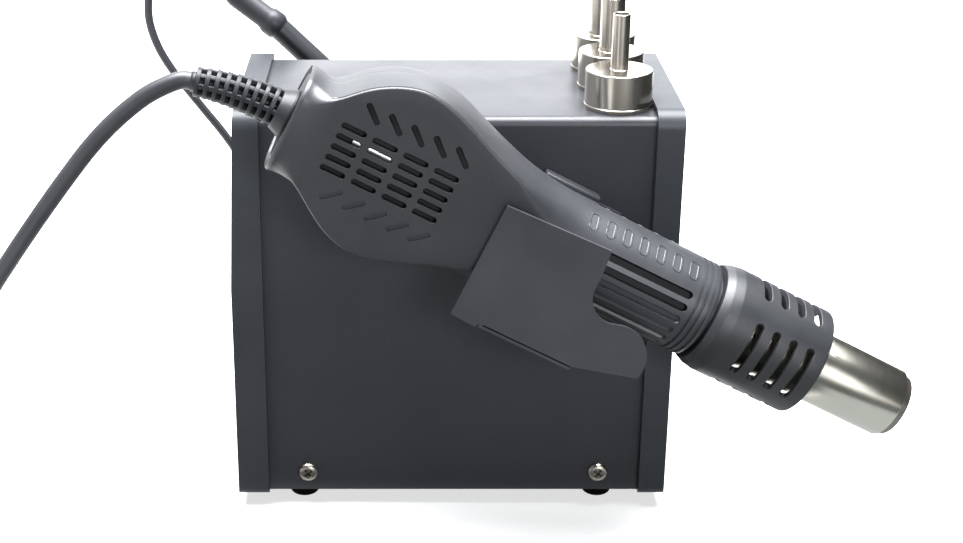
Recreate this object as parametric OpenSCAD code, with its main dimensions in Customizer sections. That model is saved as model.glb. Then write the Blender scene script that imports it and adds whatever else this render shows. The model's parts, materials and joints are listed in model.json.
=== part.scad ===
// Hot air rework station with a blower handle in a side holder, a soldering
// iron in a far side holder and three spare nozzles on its top.
// The station's length runs along X (front panel at -X), the blower handle
// hangs on the -Y side, and the rubber feet stand on Z = 0.

/* [Station] */
// Length over both bezels
body_l = 146; // [130:1:180]
// Width over the bezels
body_w = 79.5; // [76:0.5:100]
// Height of the bezels
body_h = 136.5; // [130:0.5:160]
// Height of the bezels' lower edge above the table
stand_h = 4.5; // [3:0.5:8]
// How far the bezels stand proud of the sheet cover
bezel_lip = 2.4; // [2:0.1:4]
// Depth of the front bezel
front_bezel_d = 10.4; // [8:0.1:14]
// Depth of the rear bezel
rear_bezel_d = 8.8; // [8:0.1:14]
// Width of the band that a bezel shows round its panel
bezel_band = 6; // [5:0.5:9]
// Corner radius at the top of the bezels
bezel_top_r = 6; // [4:0.5:9]
// Corner radius at the bottom of the bezels
bezel_bottom_r = 2.5; // [1.5:0.5:5]
// Height on the front bezel where its face starts to lean back
lean_start = 76; // [60:1:90]
// Lean of the upper part of the front face
lean_angle = 2.3; // [0:0.1:6]
// Depth of the panels behind the bezels' outer faces
panel_inset = 2; // [1:0.5:3]
// Thickness of the front and rear panels
panel_t = 2; // [1.5:0.5:3]
// Thickness of the cover's sheet
sheet_t = 1; // [0.8:0.1:1.5]
// Outer bend radius of the cover
cover_r = 3; // [2:0.5:5]
// Thickness of the base plate
base_t = 1.2; // [1:0.1:2]
// Height of the base plate's side flanges
flange_h = 14; // [12:1:20]
// Diameter of a rubber foot
foot_d = 10; // [8:0.5:14]
// Distance of a foot's centre from the nearer end of the station
foot_inset = 22; // [20:1:28]
// Distance of a foot's centre from the cover's side
foot_side = 9.5; // [8:0.5:14]
// Head diameter of the cover screws
screw_head_d = 6.7; // [5:0.1:8]
// Height of the cover screws above the bezels' lower edge
screw_z = 8; // [7:0.5:10]

/* [Front panel] */
// Width of the display window
window_w = 50; // [40:1:54]
// Height of the display window
window_h = 34; // [25:1:40]
// Distance of the window's centre below the bezels' upper edge
window_drop = 33.5; // [30:0.5:36]
// Width of a key
key_w = 12; // [8:0.5:14]
// Height of a key
key_h = 8; // [6:0.5:10]
// Travel of a key
key_travel = 1; // [0.5:0.1:1.2]
// Distance between key centres
key_pitch = 17; // [15:0.5:19]
// Outer diameter of the handle socket's thread
socket_d = 16; // [12:0.5:18]

/* [Rear panel] */
// Width of the mains inlet's body
inlet_w = 27; // [24:0.5:28]
// Height of the mains inlet's body
inlet_h = 20; // [18:0.5:22]
// Height of the mains inlet's centre above the bezels' lower edge
inlet_z = 30; // [24:1:36]
// Number of vent slots in the rear panel
vent_count = 9; // [4:1:12]
// Width of a vent slot in the rear panel
vent_w = 2.4; // [2:0.1:3]
// Angle between the rocker's two positions
rocker_swing = 22; // [12:1:24]

/* [Nozzles] */
// Outer diameter of a nozzle cap
cap_d = 21.7; // [20:0.1:22]
// Height of a nozzle cap
cap_h = 12.4; // [10:0.1:14]
// Wall of a nozzle
nozzle_wall = 0.5; // [0.4:0.05:0.8]
// Length of a nozzle stem
stem_h = 18; // [12:0.5:24]
// Outer diameters of the small, medium and large stems
stem_ds = [5.6, 8, 10.5];
// Distance between nozzle centres
nozzle_pitch = 23.8; // [23:0.1:24.6]
// Distance of the nozzle row from the rear bezel's outer face
nozzle_back = 20; // [20:0.5:40]
// Height of a nozzle post
post_h = 5; // [3:0.5:6]

/* [Blower handle] */
// Angle by which the handle slopes down towards its outlet
tilt = 27.2; // [20:0.1:32]
// Place of the fan axis along the station
fan_x = -18.8; // [-24:0.1:-14]
// Height of the fan axis above the table
fan_z = 131.3; // [128:0.1:140]
// Distance of the handle's middle plane from the cover's side
handle_gap = 22; // [21.5:0.5:30]
// Radius of the fan housing
fan_r = 28.2; // [26:0.1:30]
// Half thickness of the fan housing
fan_half = 15.5; // [14:0.1:17]
// Edge radius of the near side of the fan housing
near_edge_r = 1.2; // [1:0.1:5]
// Edge radius of the far side of the fan housing
far_edge_r = 8; // [5:0.5:10]
// Radius of the round neck behind the fan housing
neck_r = 15.6; // [14.5:0.1:16]
// How much the neck widens towards its rear end
neck_flare = 1.5; // [0:0.1:2]
// Radius of the grip at its waist
grip_r = 15.7; // [14.5:0.1:17]
// Distance of the rear end from the fan axis
rear_len = 35.7; // [33:0.1:40]
// Distance of the grip's front end from the fan axis
grip_len = 107; // [104:0.5:112]
// Wall of the handle shells
shell_wall = 2; // [1.6:0.1:2.4]
// Length of a grid vent slot
slot_l = 8.2; // [6:0.1:8.6]
// Width of a vent slot
slot_w = 2; // [1.6:0.1:2.4]
// Distance between the grid's columns
slot_col = 10.25; // [9.8:0.05:10.6]
// Distance between the grid's rows
slot_row = 3.6; // [3.2:0.05:3.8]
// Number of grooves along each side of the grip
groove_count = 6; // [3:1:6]
// Depth of a grip groove
groove_deep = 0.9; // [0.4:0.1:1.1]
// Number of oval dimples along the grip
dimple_count = 7; // [3:1:7]
// Outer radius of the nose cage
cage_r = 17.8; // [17:0.1:19]
// Length of the nose cage
cage_len = 38; // [36:0.5:42]
// Wall of the nose cage
cage_wall = 1.8; // [1.4:0.1:2.2]
// Width of a cage slot
cage_slot_w = 2.4; // [1.8:0.1:3]
// Outer diameter of the heater tube
tube_d = 23; // [22.6:0.1:23.4]
// Bore of the heater tube
tube_bore = 22.2; // [22:0.1:22.2]
// Length of heater tube that shows in front of the cage
tube_out = 32; // [26:0.5:40]
// Outer diameter of the inner seat tube that the nozzles slip over
seat_d = 20.5; // [19.5:0.1:20.6]
// Number of blades on the fan wheel
blade_count = 24; // [12:1:30]
// Radius of the fan wheel
wheel_r = 22; // [18:0.5:23]

/* [Holder] */
// Sheet thickness of both holders
holder_t = 1.2; // [1:0.1:1.6]
// Clearance between the grip and the holder's outer plate
holder_clear = 1.4; // [1:0.1:3]
// Place of the holder's upper edge above the handle's axis
holder_top = 9.9; // [7:0.1:10.5]
// Place of its back plate's upper edge, where the hook hangs
hook_v = 11.3; // [10:0.1:12]
// Depth of the holder's web below the handle's axis
holder_deep = 30.5; // [26:0.5:32]

/* [Soldering iron] */
// Angle by which the iron slopes down
iron_tilt = 44; // [42:0.5:46]
// Distance of the iron's axis from the cover's far side
iron_gap = 20; // [20:0.5:26]
// Radius of the iron's handle
iron_r = 8.6; // [7.5:0.1:9.2]
// Length of the iron's handle with its grip
iron_len = 88; // [84:1:92]
// Radius of the heated barrel
barrel_r = 3.6; // [2.5:0.1:4.5]
// Length of the heated barrel
barrel_len = 34; // [25:1:36]
// Length of the soldering tip
tip_len = 14; // [10:1:16]
// Inner radius of the funnel's mouth
funnel_r = 16.6; // [15:0.1:17]
// Length of the tube that guards the hot tip
guard_len = 60; // [52:1:62]

/* [Cords] */
// Diameter of the blower handle's cord
handle_cord_d = 5.6; // [5:0.1:6]
// Diameter of the soldering iron's cord
iron_cord_d = 3; // [2.5:0.5:3]

/* [Hidden] */
$fn = 48;
gap = 0.15;      // fitting clearance between neighbouring pieces
eps = 0.01;

x_front = -body_l / 2;
x_rear = body_l / 2;
z_low = stand_h;
z_high = stand_h + body_h;
cover_w = body_w - 2 * bezel_lip;
cover_low = z_low + 1;
cover_high = z_high - bezel_lip;
cover_in_w = cover_w - 2 * sheet_t;
seam_front = x_front + front_bezel_d;
seam_rear = x_rear - rear_bezel_d;
rebate = 3;      // how far the cover's ends reach into the bezels
cover_x0 = seam_front - rebate + gap;
cover_x1 = seam_rear + rebate - gap;
open_w = body_w - 2 * bezel_band;
open_r = 3;
seat_step = 1.5; // how far a panel reaches behind the bezel's band
floor_top = cover_low + base_t;
flange_y = cover_in_w / 2 - 0.1;
panel_w = open_w + 2 * (seat_step - gap);
panel_back = panel_inset + panel_t;
window_z = body_h - window_drop;
key_row_z = window_z - 0.271 * body_h;   // height of the upper key row above the bezels' lower edge
foot_xs = [-1, 1] * (body_l / 2 - foot_inset);
foot_ys = [-1, 1] * (cover_w / 2 - foot_side);
screw_xs = [seam_front + 13.5, seam_rear - 14];
screw_shank_r = 1.5;
hole_r = screw_shank_r + gap;
board_top = floor_top + 6 + 1.6;

// Shared shapes
module round_rect(w, z0, z1, top_r, bottom_r) {
    h = z1 - z0;
    union() {
        translate([-w / 2, z0 + bottom_r]) square([w, h - top_r - bottom_r]);
        translate([-w / 2 + top_r, z0 + h / 2]) square([w - 2 * top_r, h / 2]);
        translate([-w / 2 + bottom_r, z0]) square([w - 2 * bottom_r, h / 2]);
        for (s = [-1, 1]) {
            translate([s * (w / 2 - top_r), z1 - top_r]) circle(r = top_r);
            translate([s * (w / 2 - bottom_r), z0 + bottom_r]) circle(r = bottom_r);
        }
    }
}

// A prism along X with its outline given in Y and Z
module along_x(x0, x1) {
    translate([x0, 0, 0]) rotate([90, 0, 90]) linear_extrude(x1 - x0) children();
}

module box_at(x0, x1, y0, y1, z0, z1) {
    translate([x0, y0, z0]) cube([x1 - x0, y1 - y0, z1 - z0]);
}

// A solid of revolution about X, its outline given as [radius, x] points
module turned(points) {
    rotate([0, 90, 0]) rotate_extrude($fn = 64) polygon(points);
}

module stadium(len, wid) {
    square([len - wid, wid], center = true);
    for (s = [-1, 1]) translate([s * (len - wid) / 2, 0]) circle(d = wid, $fn = 24);
}

// A pan head screw whose head stands up from Z = 0 and whose shank hangs down
module pan_screw(head_d, shank_len) {
    head_h = head_d * 0.3;
    difference() {
        union() {
            rotate_extrude() polygon([
                [0, 0], [head_d / 2, 0], [head_d / 2, head_h * 0.45],
                [head_d * 0.42, head_h * 0.85], [head_d * 0.3, head_h], [0, head_h]]);
            translate([0, 0, -shank_len]) cylinder(r = screw_shank_r, h = shank_len + eps);
        }
        for (a = [0, 90]) rotate(a)
            translate([-head_d * 0.24, -head_d * 0.05, head_h * 0.45])
                cube([head_d * 0.48, head_d * 0.1, head_h]);
    }
}

// Front face of the station as an outline in X and Z, moved inwards by d
function lean_x(z, d) = x_front + d + max(0, z - z_low - lean_start) * tan(lean_angle);

module front_slab(d0, d1) {
    z_mid = z_low + lean_start;
    rotate([90, 0, 0]) linear_extrude(body_w + 4, center = true) polygon([
        [lean_x(z_low, d0), z_low - 2], [lean_x(z_mid, d0), z_mid],
        [lean_x(z_high + 2, d0), z_high + 2], [lean_x(z_high + 2, d1), z_high + 2],
        [lean_x(z_mid, d1), z_mid], [lean_x(z_low, d1), z_low - 2]]);
}

module cover_outline(grow) {
    round_rect(cover_w + 2 * grow, cover_low - grow, cover_high + grow, cover_r, 0.01);
}

module opening_outline(grow) {
    round_rect(open_w + 2 * grow, z_low + bezel_band - grow, z_high - bezel_band + grow,
        open_r, open_r);
}

// Station
module base_plate() {
    color("dimgray") difference() {
        union() {
            box_at(cover_x0, cover_x1, -flange_y, flange_y, cover_low, floor_top);
            for (s = [-1, 1])
                box_at(seam_front + 5, seam_rear - 5,
                    min(s * flange_y, s * (flange_y - base_t)),
                    max(s * flange_y, s * (flange_y - base_t)), cover_low, cover_low + flange_h);
        }
        for (x = screw_xs)
            translate([x, 0, z_low + screw_z]) rotate([90, 0, 0])
                cylinder(r = hole_r, h = body_w, center = true, $fn = 24);
        for (x = foot_xs, y = foot_ys)
            translate([x, y, cover_low - 1]) cylinder(r = 2.2, h = base_t + 2, $fn = 24);
        for (i = [-3 : 3])
            box_at(i * 7 + 18, i * 7 + 21, -22, 22, cover_low - 1, floor_top + 1);
    }
}

module top_cover() {
    color([0.24, 0.25, 0.27]) difference() {
        along_x(cover_x0, cover_x1) difference() {
            cover_outline(0);
            round_rect(cover_in_w, cover_low - 5, cover_high - sheet_t, cover_r - sheet_t, 0.01);
        }
        for (x = screw_xs)
            translate([x, 0, z_low + screw_z]) rotate([90, 0, 0])
                cylinder(r = hole_r, h = body_w, center = true, $fn = 24);
        for (y = nozzle_ys)
            translate([nozzle_x, y, cover_high - 5]) cylinder(r = post_pin_r + gap, h = 10, $fn = 24);
        on_handle() for (p = holder_holes)
            translate([p[0], handle_gap, p[1]]) rotate([90, 0, 0])
                cylinder(r = hole_r, h = 6, center = true, $fn = 24);
        on_iron() for (p = iron_holes)
            translate([p[0], -iron_gap, p[1]]) rotate([90, 0, 0])
                cylinder(r = hole_r, h = 6, center = true, $fn = 24);
        translate([gland_x, cover_w / 2, gland_z]) rotate([90, 0, 0])
            cylinder(r = gland_r + gap, h = 6, center = true, $fn = 24);
    }
}

module rubber_feet() {
    color([0.1, 0.1, 0.1]) for (x = foot_xs, y = foot_ys) translate([x, y, 0])
        difference() {
            rotate_extrude() polygon([
                [0, 0], [foot_d / 2 - 0.8, 0], [foot_d / 2, 0.8], [foot_d / 2, cover_low - 0.6],
                [foot_d / 2 - 0.6, cover_low], [2, cover_low], [2, floor_top + 0.1],
                [3, floor_top + 0.1], [2.4, floor_top + 1.2], [0, floor_top + 1.2]]);
            translate([0, 0, -1]) cylinder(r = 1.6, h = 3.5, $fn = 24);
        }
}

module cover_screws() {
    color([0.45, 0.43, 0.4]) for (x = screw_xs, s = [-1, 1])
        translate([x, s * cover_w / 2, z_low + screw_z]) rotate([-90 * s, 0, 0])
            pan_screw(screw_head_d, 6);
}

coil_x = x_rear - 46;      // middle of the transformer
board_x0 = seam_front + 6;
board_x1 = coil_x - 23;
board_half = cover_w / 2 - 8.35;
standoff_xs = [board_x0 + 12, board_x1 - 5];

module board_standoffs() {
    color("gold") for (x = standoff_xs, s = [-1, 1])
        translate([x, s * (board_half - 5), floor_top])
            cylinder(r = 2.8, h = 6, $fn = 6);
}

module front_bezel() {
    color([0.25, 0.26, 0.27]) difference() {
        intersection() {
            along_x(x_front - 1, seam_front)
                round_rect(body_w, z_low, z_high, bezel_top_r, bezel_bottom_r);
            front_slab(0, 60);
        }
        along_x(x_front - 5, seam_front + 5) opening_outline(0);
        intersection() {
            along_x(x_front - 5, seam_front + 5) opening_outline(seat_step);
            front_slab(panel_inset, 60);
        }
        along_x(seam_front - rebate, seam_front + 5) cover_outline(0.1);
    }
}

function key_places() = [[-key_pitch, 0], [-key_pitch, -1], [0, 0], [0, -1], [key_pitch, -0.5]];
key_drop = 15;   // distance between the two key rows
board_low = key_row_z - key_drop - 14;   // lower edge of the board behind the front panel
socket_z = (bezel_band + board_low + 5) / 2;
key_clear = 0.2;
function key_y(i) = key_places()[i][0];
function key_zc(i) = z_low + key_row_z + key_places()[i][1] * key_drop;

module front_panel() {
    color([0.12, 0.12, 0.13]) difference() {
        intersection() {
            front_slab(panel_inset + 0.05, panel_back);
            along_x(x_front - 5, seam_front + 5)
                round_rect(panel_w, z_low + bezel_band - seat_step + gap,
                    z_high - bezel_band + seat_step - gap, open_r, open_r);
        }
        along_x(x_front - 5, seam_front + 8) {
            translate([0, z_low + window_z])
                square([window_w - 4, window_h - 4], center = true);
            for (i = [0 : 4]) translate([key_y(i), key_zc(i)])
                square([key_w + 2 * key_clear, key_h + 2 * key_clear], center = true);
            translate([socket_y, z_low + socket_z]) circle(d = socket_d - 1.6);
        }
        intersection() {
            front_slab(-5, panel_inset + 0.8);
            along_x(x_front - 5, seam_front + 8) translate([0, z_low + window_z])
                square([window_w + 0.2, window_h + 0.2], center = true);
        }
    }
    color([0.12, 0.12, 0.13]) for (y = [-1, 1] * boss_y, z = boss_zs)
        translate([x_front + panel_back - 0.5, y, z]) rotate([0, 90, 0])
            cylinder(r = 2.5, h = board_gap + 0.5);
}

module display_window() {
    color([0.05, 0.06, 0.08]) intersection() {
        front_slab(panel_inset - 0.2, panel_inset + 0.8);
        along_x(x_front - 5, seam_front + 8) translate([0, z_low + window_z])
            square([window_w, window_h], center = true);
    }
}

module display_module() {
    color("darkslategray") intersection() {
        front_slab(panel_back + 0.1, panel_back + 4.5);
        along_x(x_front - 5, seam_front + 20) translate([0, z_low + window_z])
            square([window_w + 2, window_h + 2], center = true);
    }
}

board_gap = 7;    // distance from the front panel to the board behind it
front_board_x = x_front + panel_back + board_gap;
board_y = open_w / 2 - 3;
boss_y = board_y - 3;
boss_zs = [z_low + key_row_z - key_drop - 10, z_low + key_row_z + 9];

// The board behind the front panel, with a push switch behind each key
module front_board() {
    switch_x = panel_back + 1.2 + key_travel + 0.1;
    color("darkgreen") {
        difference() {
            box_at(front_board_x, front_board_x + 1.6, -board_y, board_y,
                z_low + board_low, z_low + window_z + window_h / 2 + 2);
            for (y = [-1, 1] * boss_y, z = boss_zs)
                translate([front_board_x - 1, y, z]) rotate([0, 90, 0])
                    cylinder(r = 1.3, h = 5, $fn = 24);
        }
        for (i = [0 : 4]) {
            box_at(front_board_x - 2.6, front_board_x, key_y(i) - 3, key_y(i) + 3,
                key_zc(i) - 3, key_zc(i) + 3);
            translate([x_front + switch_x, key_y(i), key_zc(i)]) rotate([0, 90, 0])
                cylinder(r = 1.6, h = board_gap - 1.3 - key_travel - 2.6 + eps, $fn = 24);
        }
    }
}

// One key: a cap in the panel's window with a flange behind it
module key_cap(i) {
    color([0.62, 0.63, 0.65]) translate([x_front, key_y(i), key_zc(i)]) {
        difference() {
            box_at(panel_inset - 1.3, panel_back + 0.1, -key_w / 2, key_w / 2, -key_h / 2, key_h / 2);
            translate([panel_inset - 1.3, 0, 0]) rotate([0, 90, 0])
                rotate_extrude() polygon([[0, -1], [key_h / 2 - 1.4, -1], [key_h / 2 - 1.4, 0], [0, 0.35]]);
        }
        box_at(panel_back + 0.1, panel_back + 1.2, -key_w / 2 - 0.9, key_w / 2 + 0.9,
            -key_h / 2 - 0.9, key_h / 2 + 0.9);
    }
}

module key_temp_up() { key_cap(0); }
module key_temp_down() { key_cap(1); }
module key_air_up() { key_cap(2); }
module key_air_down() { key_cap(3); }
module key_mode() { key_cap(4); }

socket_y = 16;

// Round panel socket for the blower handle's plug
module handle_socket() {
    r = socket_d / 2;
    color("silver") translate([x_front, socket_y, z_low + socket_z]) {
        difference() {
            turned([[0, panel_back + 12], [0, panel_back], [r - 1.8, panel_back],
                [r - 1.8, -4.2], [r - 0.9, -4.2], [r - 0.9, -1.4], [r + 1.6, -1.4],
                [r + 1.6, panel_inset], [r - 0.9, panel_inset], [r - 0.9, panel_back + 0.05],
                [r + 1.6, panel_back + 0.05], [r + 1.6, panel_back + 2],
                [r - 0.9, panel_back + 2], [r - 0.9, panel_back + 12]]);
            translate([-5, r - 2.4, -0.9]) cube([4, 3, 1.8]);
        }
        for (i = [0 : 7]) rotate([i * 45, 0, 0]) translate([-1, 4.6, 0])
            rotate([0, 90, 0]) cylinder(r = 0.5, h = panel_back + 2, $fn = 16);
    }
}

module rear_bezel() {
    color([0.25, 0.26, 0.27]) difference() {
        along_x(seam_rear, x_rear) round_rect(body_w, z_low, z_high, bezel_top_r, bezel_bottom_r);
        along_x(seam_rear - 5, x_rear + 5) opening_outline(0);
        along_x(seam_rear - 5, x_rear - panel_inset) opening_outline(seat_step);
        along_x(seam_rear - 5, seam_rear + rebate) cover_outline(0.1);
    }
}

inlet_y = -14;
switch_y = 18;
switch_w = 13;
switch_h = 19;
rear_panel_x = x_rear - panel_inset - 0.05;

module rear_panel() {
    color([0.12, 0.12, 0.13]) difference() {
        along_x(rear_panel_x - panel_t, rear_panel_x)
            round_rect(panel_w, z_low + bezel_band - seat_step + gap,
                z_high - bezel_band + seat_step - gap, open_r, open_r);
        along_x(rear_panel_x - 10, rear_panel_x + 5) {
            translate([inlet_y, z_low + inlet_z])
                square([inlet_w + 2 * gap, inlet_h + 2 * gap], center = true);
            translate([switch_y, z_low + inlet_z])
                square([switch_w + 2 * gap, switch_h + 2 * gap], center = true);
            for (i = [0 : vent_count - 1])
                translate([0, z_high - bezel_band - 10 - i * 2 * vent_w]) stadium(44, vent_w);
        }
    }
}

module mains_inlet() {
    color([0.08, 0.08, 0.08]) translate([rear_panel_x, inlet_y, z_low + inlet_z]) difference() {
        union() {
            along_x(0, 1.8) square([inlet_w + 4, inlet_h + 4], center = true);
            along_x(-18, eps) square([inlet_w, inlet_h], center = true);
        }
        along_x(-14, 3) polygon([
            [-inlet_w / 2 + 1.6, -inlet_h / 2 + 1.6], [inlet_w / 2 - 1.6, -inlet_h / 2 + 1.6],
            [inlet_w / 2 - 1.6, inlet_h / 2 - 6], [inlet_w / 2 - 5.6, inlet_h / 2 - 1.6],
            [-inlet_w / 2 + 5.6, inlet_h / 2 - 1.6], [-inlet_w / 2 + 1.6, inlet_h / 2 - 6]]);
    }
}

module inlet_pins() {
    color("silver") translate([rear_panel_x, inlet_y, z_low + inlet_z])
        for (p = [[-7, -2.6], [0, -0.6], [7, -2.6]]) {
            box_at(-14, -3, p[0] - 1, p[0] + 1, p[1] - 2, p[1] + 2);
            box_at(-25, -18, p[0] - 0.4, p[0] + 0.4, p[1] - 2.4, p[1] + 2.4);
        }
}

module switch_body() {
    color([0.08, 0.08, 0.08]) translate([rear_panel_x, switch_y, z_low + inlet_z]) {
        difference() {
            union() {
                along_x(0, 1.6) square([switch_w + 2.4, switch_h + 2.4], center = true);
                along_x(-13, eps) square([switch_w, switch_h], center = true);
            }
            along_x(-9, 3) square([switch_w - 2, switch_h - 2.2], center = true);
            translate([-rocker_in, 0, 0]) rotate([90, 0, 0])
                cylinder(r = rocker_pin_r + 0.05, h = switch_w - 0.6, center = true, $fn = 32);
        }
        for (z = [-6, 0, 6]) box_at(-20, -13, -2.4, 2.4, z - 0.4, z + 0.4);
    }
}

rocker_r = 7.9;
rocker_in = 3;       // depth of the rocker's axis behind the rear panel's face
rocker_pin_r = 1;

// The rocker turns about an axis along Y and rests with its lower side pressed
module switch_rocker() {
    half = switch_w / 2 - 1.2;
    color([0.15, 0.15, 0.16]) translate([rear_panel_x - rocker_in, switch_y, z_low + inlet_z])
        rotate([0, -rocker_swing / 2, 0]) rotate([90, 0, 0]) {
            linear_extrude(2 * half, center = true) intersection() {
                polygon([[-3, -4], [-3, 4], [1, rocker_r], [4.4, rocker_r], [3.4, 0],
                    [4.4, -rocker_r], [1, -rocker_r]]);
                circle(r = rocker_r + 0.3, $fn = 64);
            }
            cylinder(r = rocker_pin_r, h = switch_w - 0.8, center = true, $fn = 32);
        }
}

module control_board() {
    color("darkgreen") difference() {
        box_at(board_x0, board_x1, -board_half, board_half, floor_top + 6, board_top);
        for (x = standoff_xs, s = [-1, 1]) translate([x, s * (board_half - 5), floor_top])
            cylinder(r = 1.6, h = 20, $fn = 24);
    }
}

module board_parts() {
    color([0.2, 0.2, 0.25]) translate([board_x0, 0, board_top]) {
        for (p = [[12, -16, 5, 20], [12, 0, 5, 20], [25, -19, 4, 12], [46, 18, 3.2, 11]])
            translate([p[0], p[1], 0]) {
                cylinder(r = p[2], h = p[3]);
                translate([0, 0, p[3]]) cylinder(r = p[2] - 0.8, h = 0.4);
            }
        box_at(33, 48, -22, -12, 0, 14);
        box_at(34, 43, 2, 12, 0, 5);
        for (y = [-4, 4, 12, 20]) box_at(3.5, 8, y - 3, y + 3, 0, 8);
        for (i = [0 : 5]) box_at(20, 22.5, -9 + 5 * i, -7 + 5 * i, 0, 2);
    }
}

// Finned heat sink with the heater's power switch on its side
module heat_sink() {
    color("gray") translate([board_x0 + 26, board_half - 9, board_top]) {
        box_at(0, 3, -7, 7, 0, 26);
        for (i = [0 : 5]) box_at(3 - eps, 11, -7 + i * 2.6, -6 + i * 2.6, 0, 26);
        box_at(-4.5, eps, -5, 5, 8, 23);
    }
}

module transformer_core() {
    color([0.35, 0.35, 0.38]) translate([coil_x, 0, floor_top]) {
        difference() {
            box_at(-9, 9, -26, 26, 3, 45);
            box_at(-10, 10, -17.5, -8.5, 11, 37);
            box_at(-10, 10, 8.5, 17.5, 11, 37);
        }
        for (s = [-1, 1]) box_at(-9, 9, s * 22 - 4, s * 22 + 4, 0, 3 + eps);
    }
}

module transformer_coil() {
    color([0.75, 0.6, 0.2]) translate([coil_x, 0, floor_top]) difference() {
        box_at(-17, 17, -17.3, 17.3, 11.2, 36.8);
        box_at(-9.1, 9.1, -8.6, 8.6, 5, 40);
    }
}

// Nozzles stand on posts in a row across the top
nozzle_x = x_rear - nozzle_back;
nozzle_ys = [-nozzle_pitch, 0, nozzle_pitch];
post_pin_r = 2;
post_r = cap_d / 2 - nozzle_wall - 0.25;

module nozzle_posts() {
    color("dimgray") for (y = nozzle_ys) translate([nozzle_x, y, cover_high])
        rotate_extrude() polygon([
            [0, -3], [post_pin_r, -3], [post_pin_r, 0], [post_r, 0], [post_r, post_h - 1],
            [post_r - 1, post_h], [0, post_h]]);
}

module nozzle(i) {
    r = cap_d / 2;
    s = stem_ds[i] / 2;
    t = nozzle_wall;
    top = cap_h + stem_h;
    color([0.8, 0.78, 0.74]) translate([nozzle_x, nozzle_ys[i], cover_high + 0.05])
        rotate_extrude($fn = 96) polygon([
            [r, 0], [r, cap_h - 0.6], [r - 0.2, cap_h - 0.2], [r - 0.6, cap_h], [s + 0.3, cap_h],
            [s, cap_h + 0.3], [s, top], [s - t, top], [s - t, cap_h - t],
            [r - 0.6 - t * 0.4, cap_h - t], [r - t, cap_h - 0.6 - t * 0.4], [r - t, 0]]);
}

module nozzle_small() { nozzle(0); }
module nozzle_medium() { nozzle(1); }
module nozzle_large() { nozzle(2); }

// Blower handle. Its own frame has X along the grip, Z across it and the fan
// axis along Y.
handle_y = -cover_w / 2 - handle_gap;
module on_handle() {
    translate([fan_x, handle_y, fan_z]) rotate([0, tilt, 0]) children();
}

blend_u = 16;                                             // where the grip leaves the round housing
blend_h = sqrt(fan_r * fan_r - blend_u * blend_u);
blend_len = (blend_h - grip_r) * blend_h / blend_u;       // keeps the outline smooth there

function ramp(a, b, t) = let (k = min(1, max(0, (t - a) / (b - a)))) k * k * (3 - 2 * k);
function fan_h(u) = sqrt(max(0, fan_r * fan_r - u * u));
function neck_at(u) = neck_r + neck_flare * (1 - ramp(-rear_len, -28, u));
function neck_v(u) = -neck_flare * (1 - ramp(-31, -17, u));   // the neck sits a little low
function half_h(u) = u < blend_u
    ? pow(pow(fan_h(u), 8) + pow(neck_at(u), 8), 1 / 8)
    : grip_r + (blend_h - grip_r) * exp(-(u - blend_u) / blend_len);
function half_w(u) = u < 0
    ? neck_r + (fan_half - neck_r) * ramp(-33, -24, u)
    : fan_half + (grip_r - fan_half) * ramp(24, 46, u);
function edge_r(u, edge) = edge + (grip_r - edge) * (1 - ramp(-33, -21, u) + ramp(20, 50, u));

arc_steps = 5;
// Half of a cross-section from its top to its bottom, on the -Y side
function half_section(u, edge, inset) =
    let (h = half_h(u) - inset, w = half_w(u) - inset,
        c = max(0.8, min(edge_r(u, edge) - inset, min(h, w) - 0.3)))
    concat([[0, h]],
        [for (k = [0 : arc_steps]) let (a = 90 - 90 * k / arc_steps)
            [-(w - c + c * cos(a)), h - c + c * sin(a)]],
        [for (k = [0 : arc_steps]) let (a = -90 * k / arc_steps)
            [-(w - c + c * cos(a)), -(h - c) + c * sin(a)]],
        [[0, -h]]);

ring_n = 2 * arc_steps + 4;
fan_steps = [for (a = [-56 : 14 : 28]) fan_r * sin(a)];
stations = concat([-rear_len, -rear_len + 3.5, -29.5, -26.5], fan_steps,
    [blend_u, 19, 23, 28, 34, 41, 50, 75, grip_len]);
n_st = len(stations);

// Half of the hollow handle, on the -Y side of its middle plane
module half_shell(edge) {
    outer = [for (u = stations) for (p = half_section(u, edge, 0)) [u, p[0], p[1] + neck_v(u)]];
    inner = [for (i = [0 : n_st - 1]) let (u = i == 0 ? stations[0] + shell_wall : stations[i])
        for (p = half_section(u, edge, shell_wall)) [u, p[0], p[1] + neck_v(u)]];
    n = ring_n;
    m = n_st * n;
    polyhedron(convexity = 8, points = concat(outer, inner), faces = concat(
        [for (i = [0 : n_st - 2], j = [0 : n - 2]) let (a = i * n + j)
            for (f = [[a, a + n, a + n + 1], [a, a + n + 1, a + 1]]) f],
        [for (i = [0 : n_st - 2], j = [0 : n - 2]) let (a = m + i * n + j)
            for (f = [[a, a + n + 1, a + n], [a, a + 1, a + n + 1]]) f],
        [for (i = [0 : n_st - 2]) let (a = i * n) [m + a, m + a + n, a + n, a]],
        [for (i = [0 : n_st - 2]) let (a = i * n + n - 1) [a + n, m + a + n, m + a, a]],
        [for (j = [0 : n - 2]) let (a = (n_st - 1) * n + j) [m + a, m + a + 1, a + 1, a]],
        [[for (j = [0 : n - 1]) j], [for (j = [n - 1 : -1 : 0]) m + j],
            [n - 1, m + n - 1, m, 0]]));
}

// Slot that passes through the side wall of the housing
module side_slot(u, v, len, angle) {
    translate([u, -fan_half + shell_wall + 1, v]) rotate([90, -angle, 0])
        linear_extrude(shell_wall + 3) stadium(len, slot_w);
}

module vent_slots() {
    for (i = [-1.5 : 1.5], j = [-2 : 2])
        side_slot(-2.1 + i * slot_col, 0.4 + j * slot_row, slot_l, 0);
    for (i = [-2 : 2]) {
        side_slot(-0.3 + i * 7.4, 14.4, slot_l - 1, -41);
        side_slot(0.2 + i * 7.4, -13.4, slot_l - 1, 41);
    }
}

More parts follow.
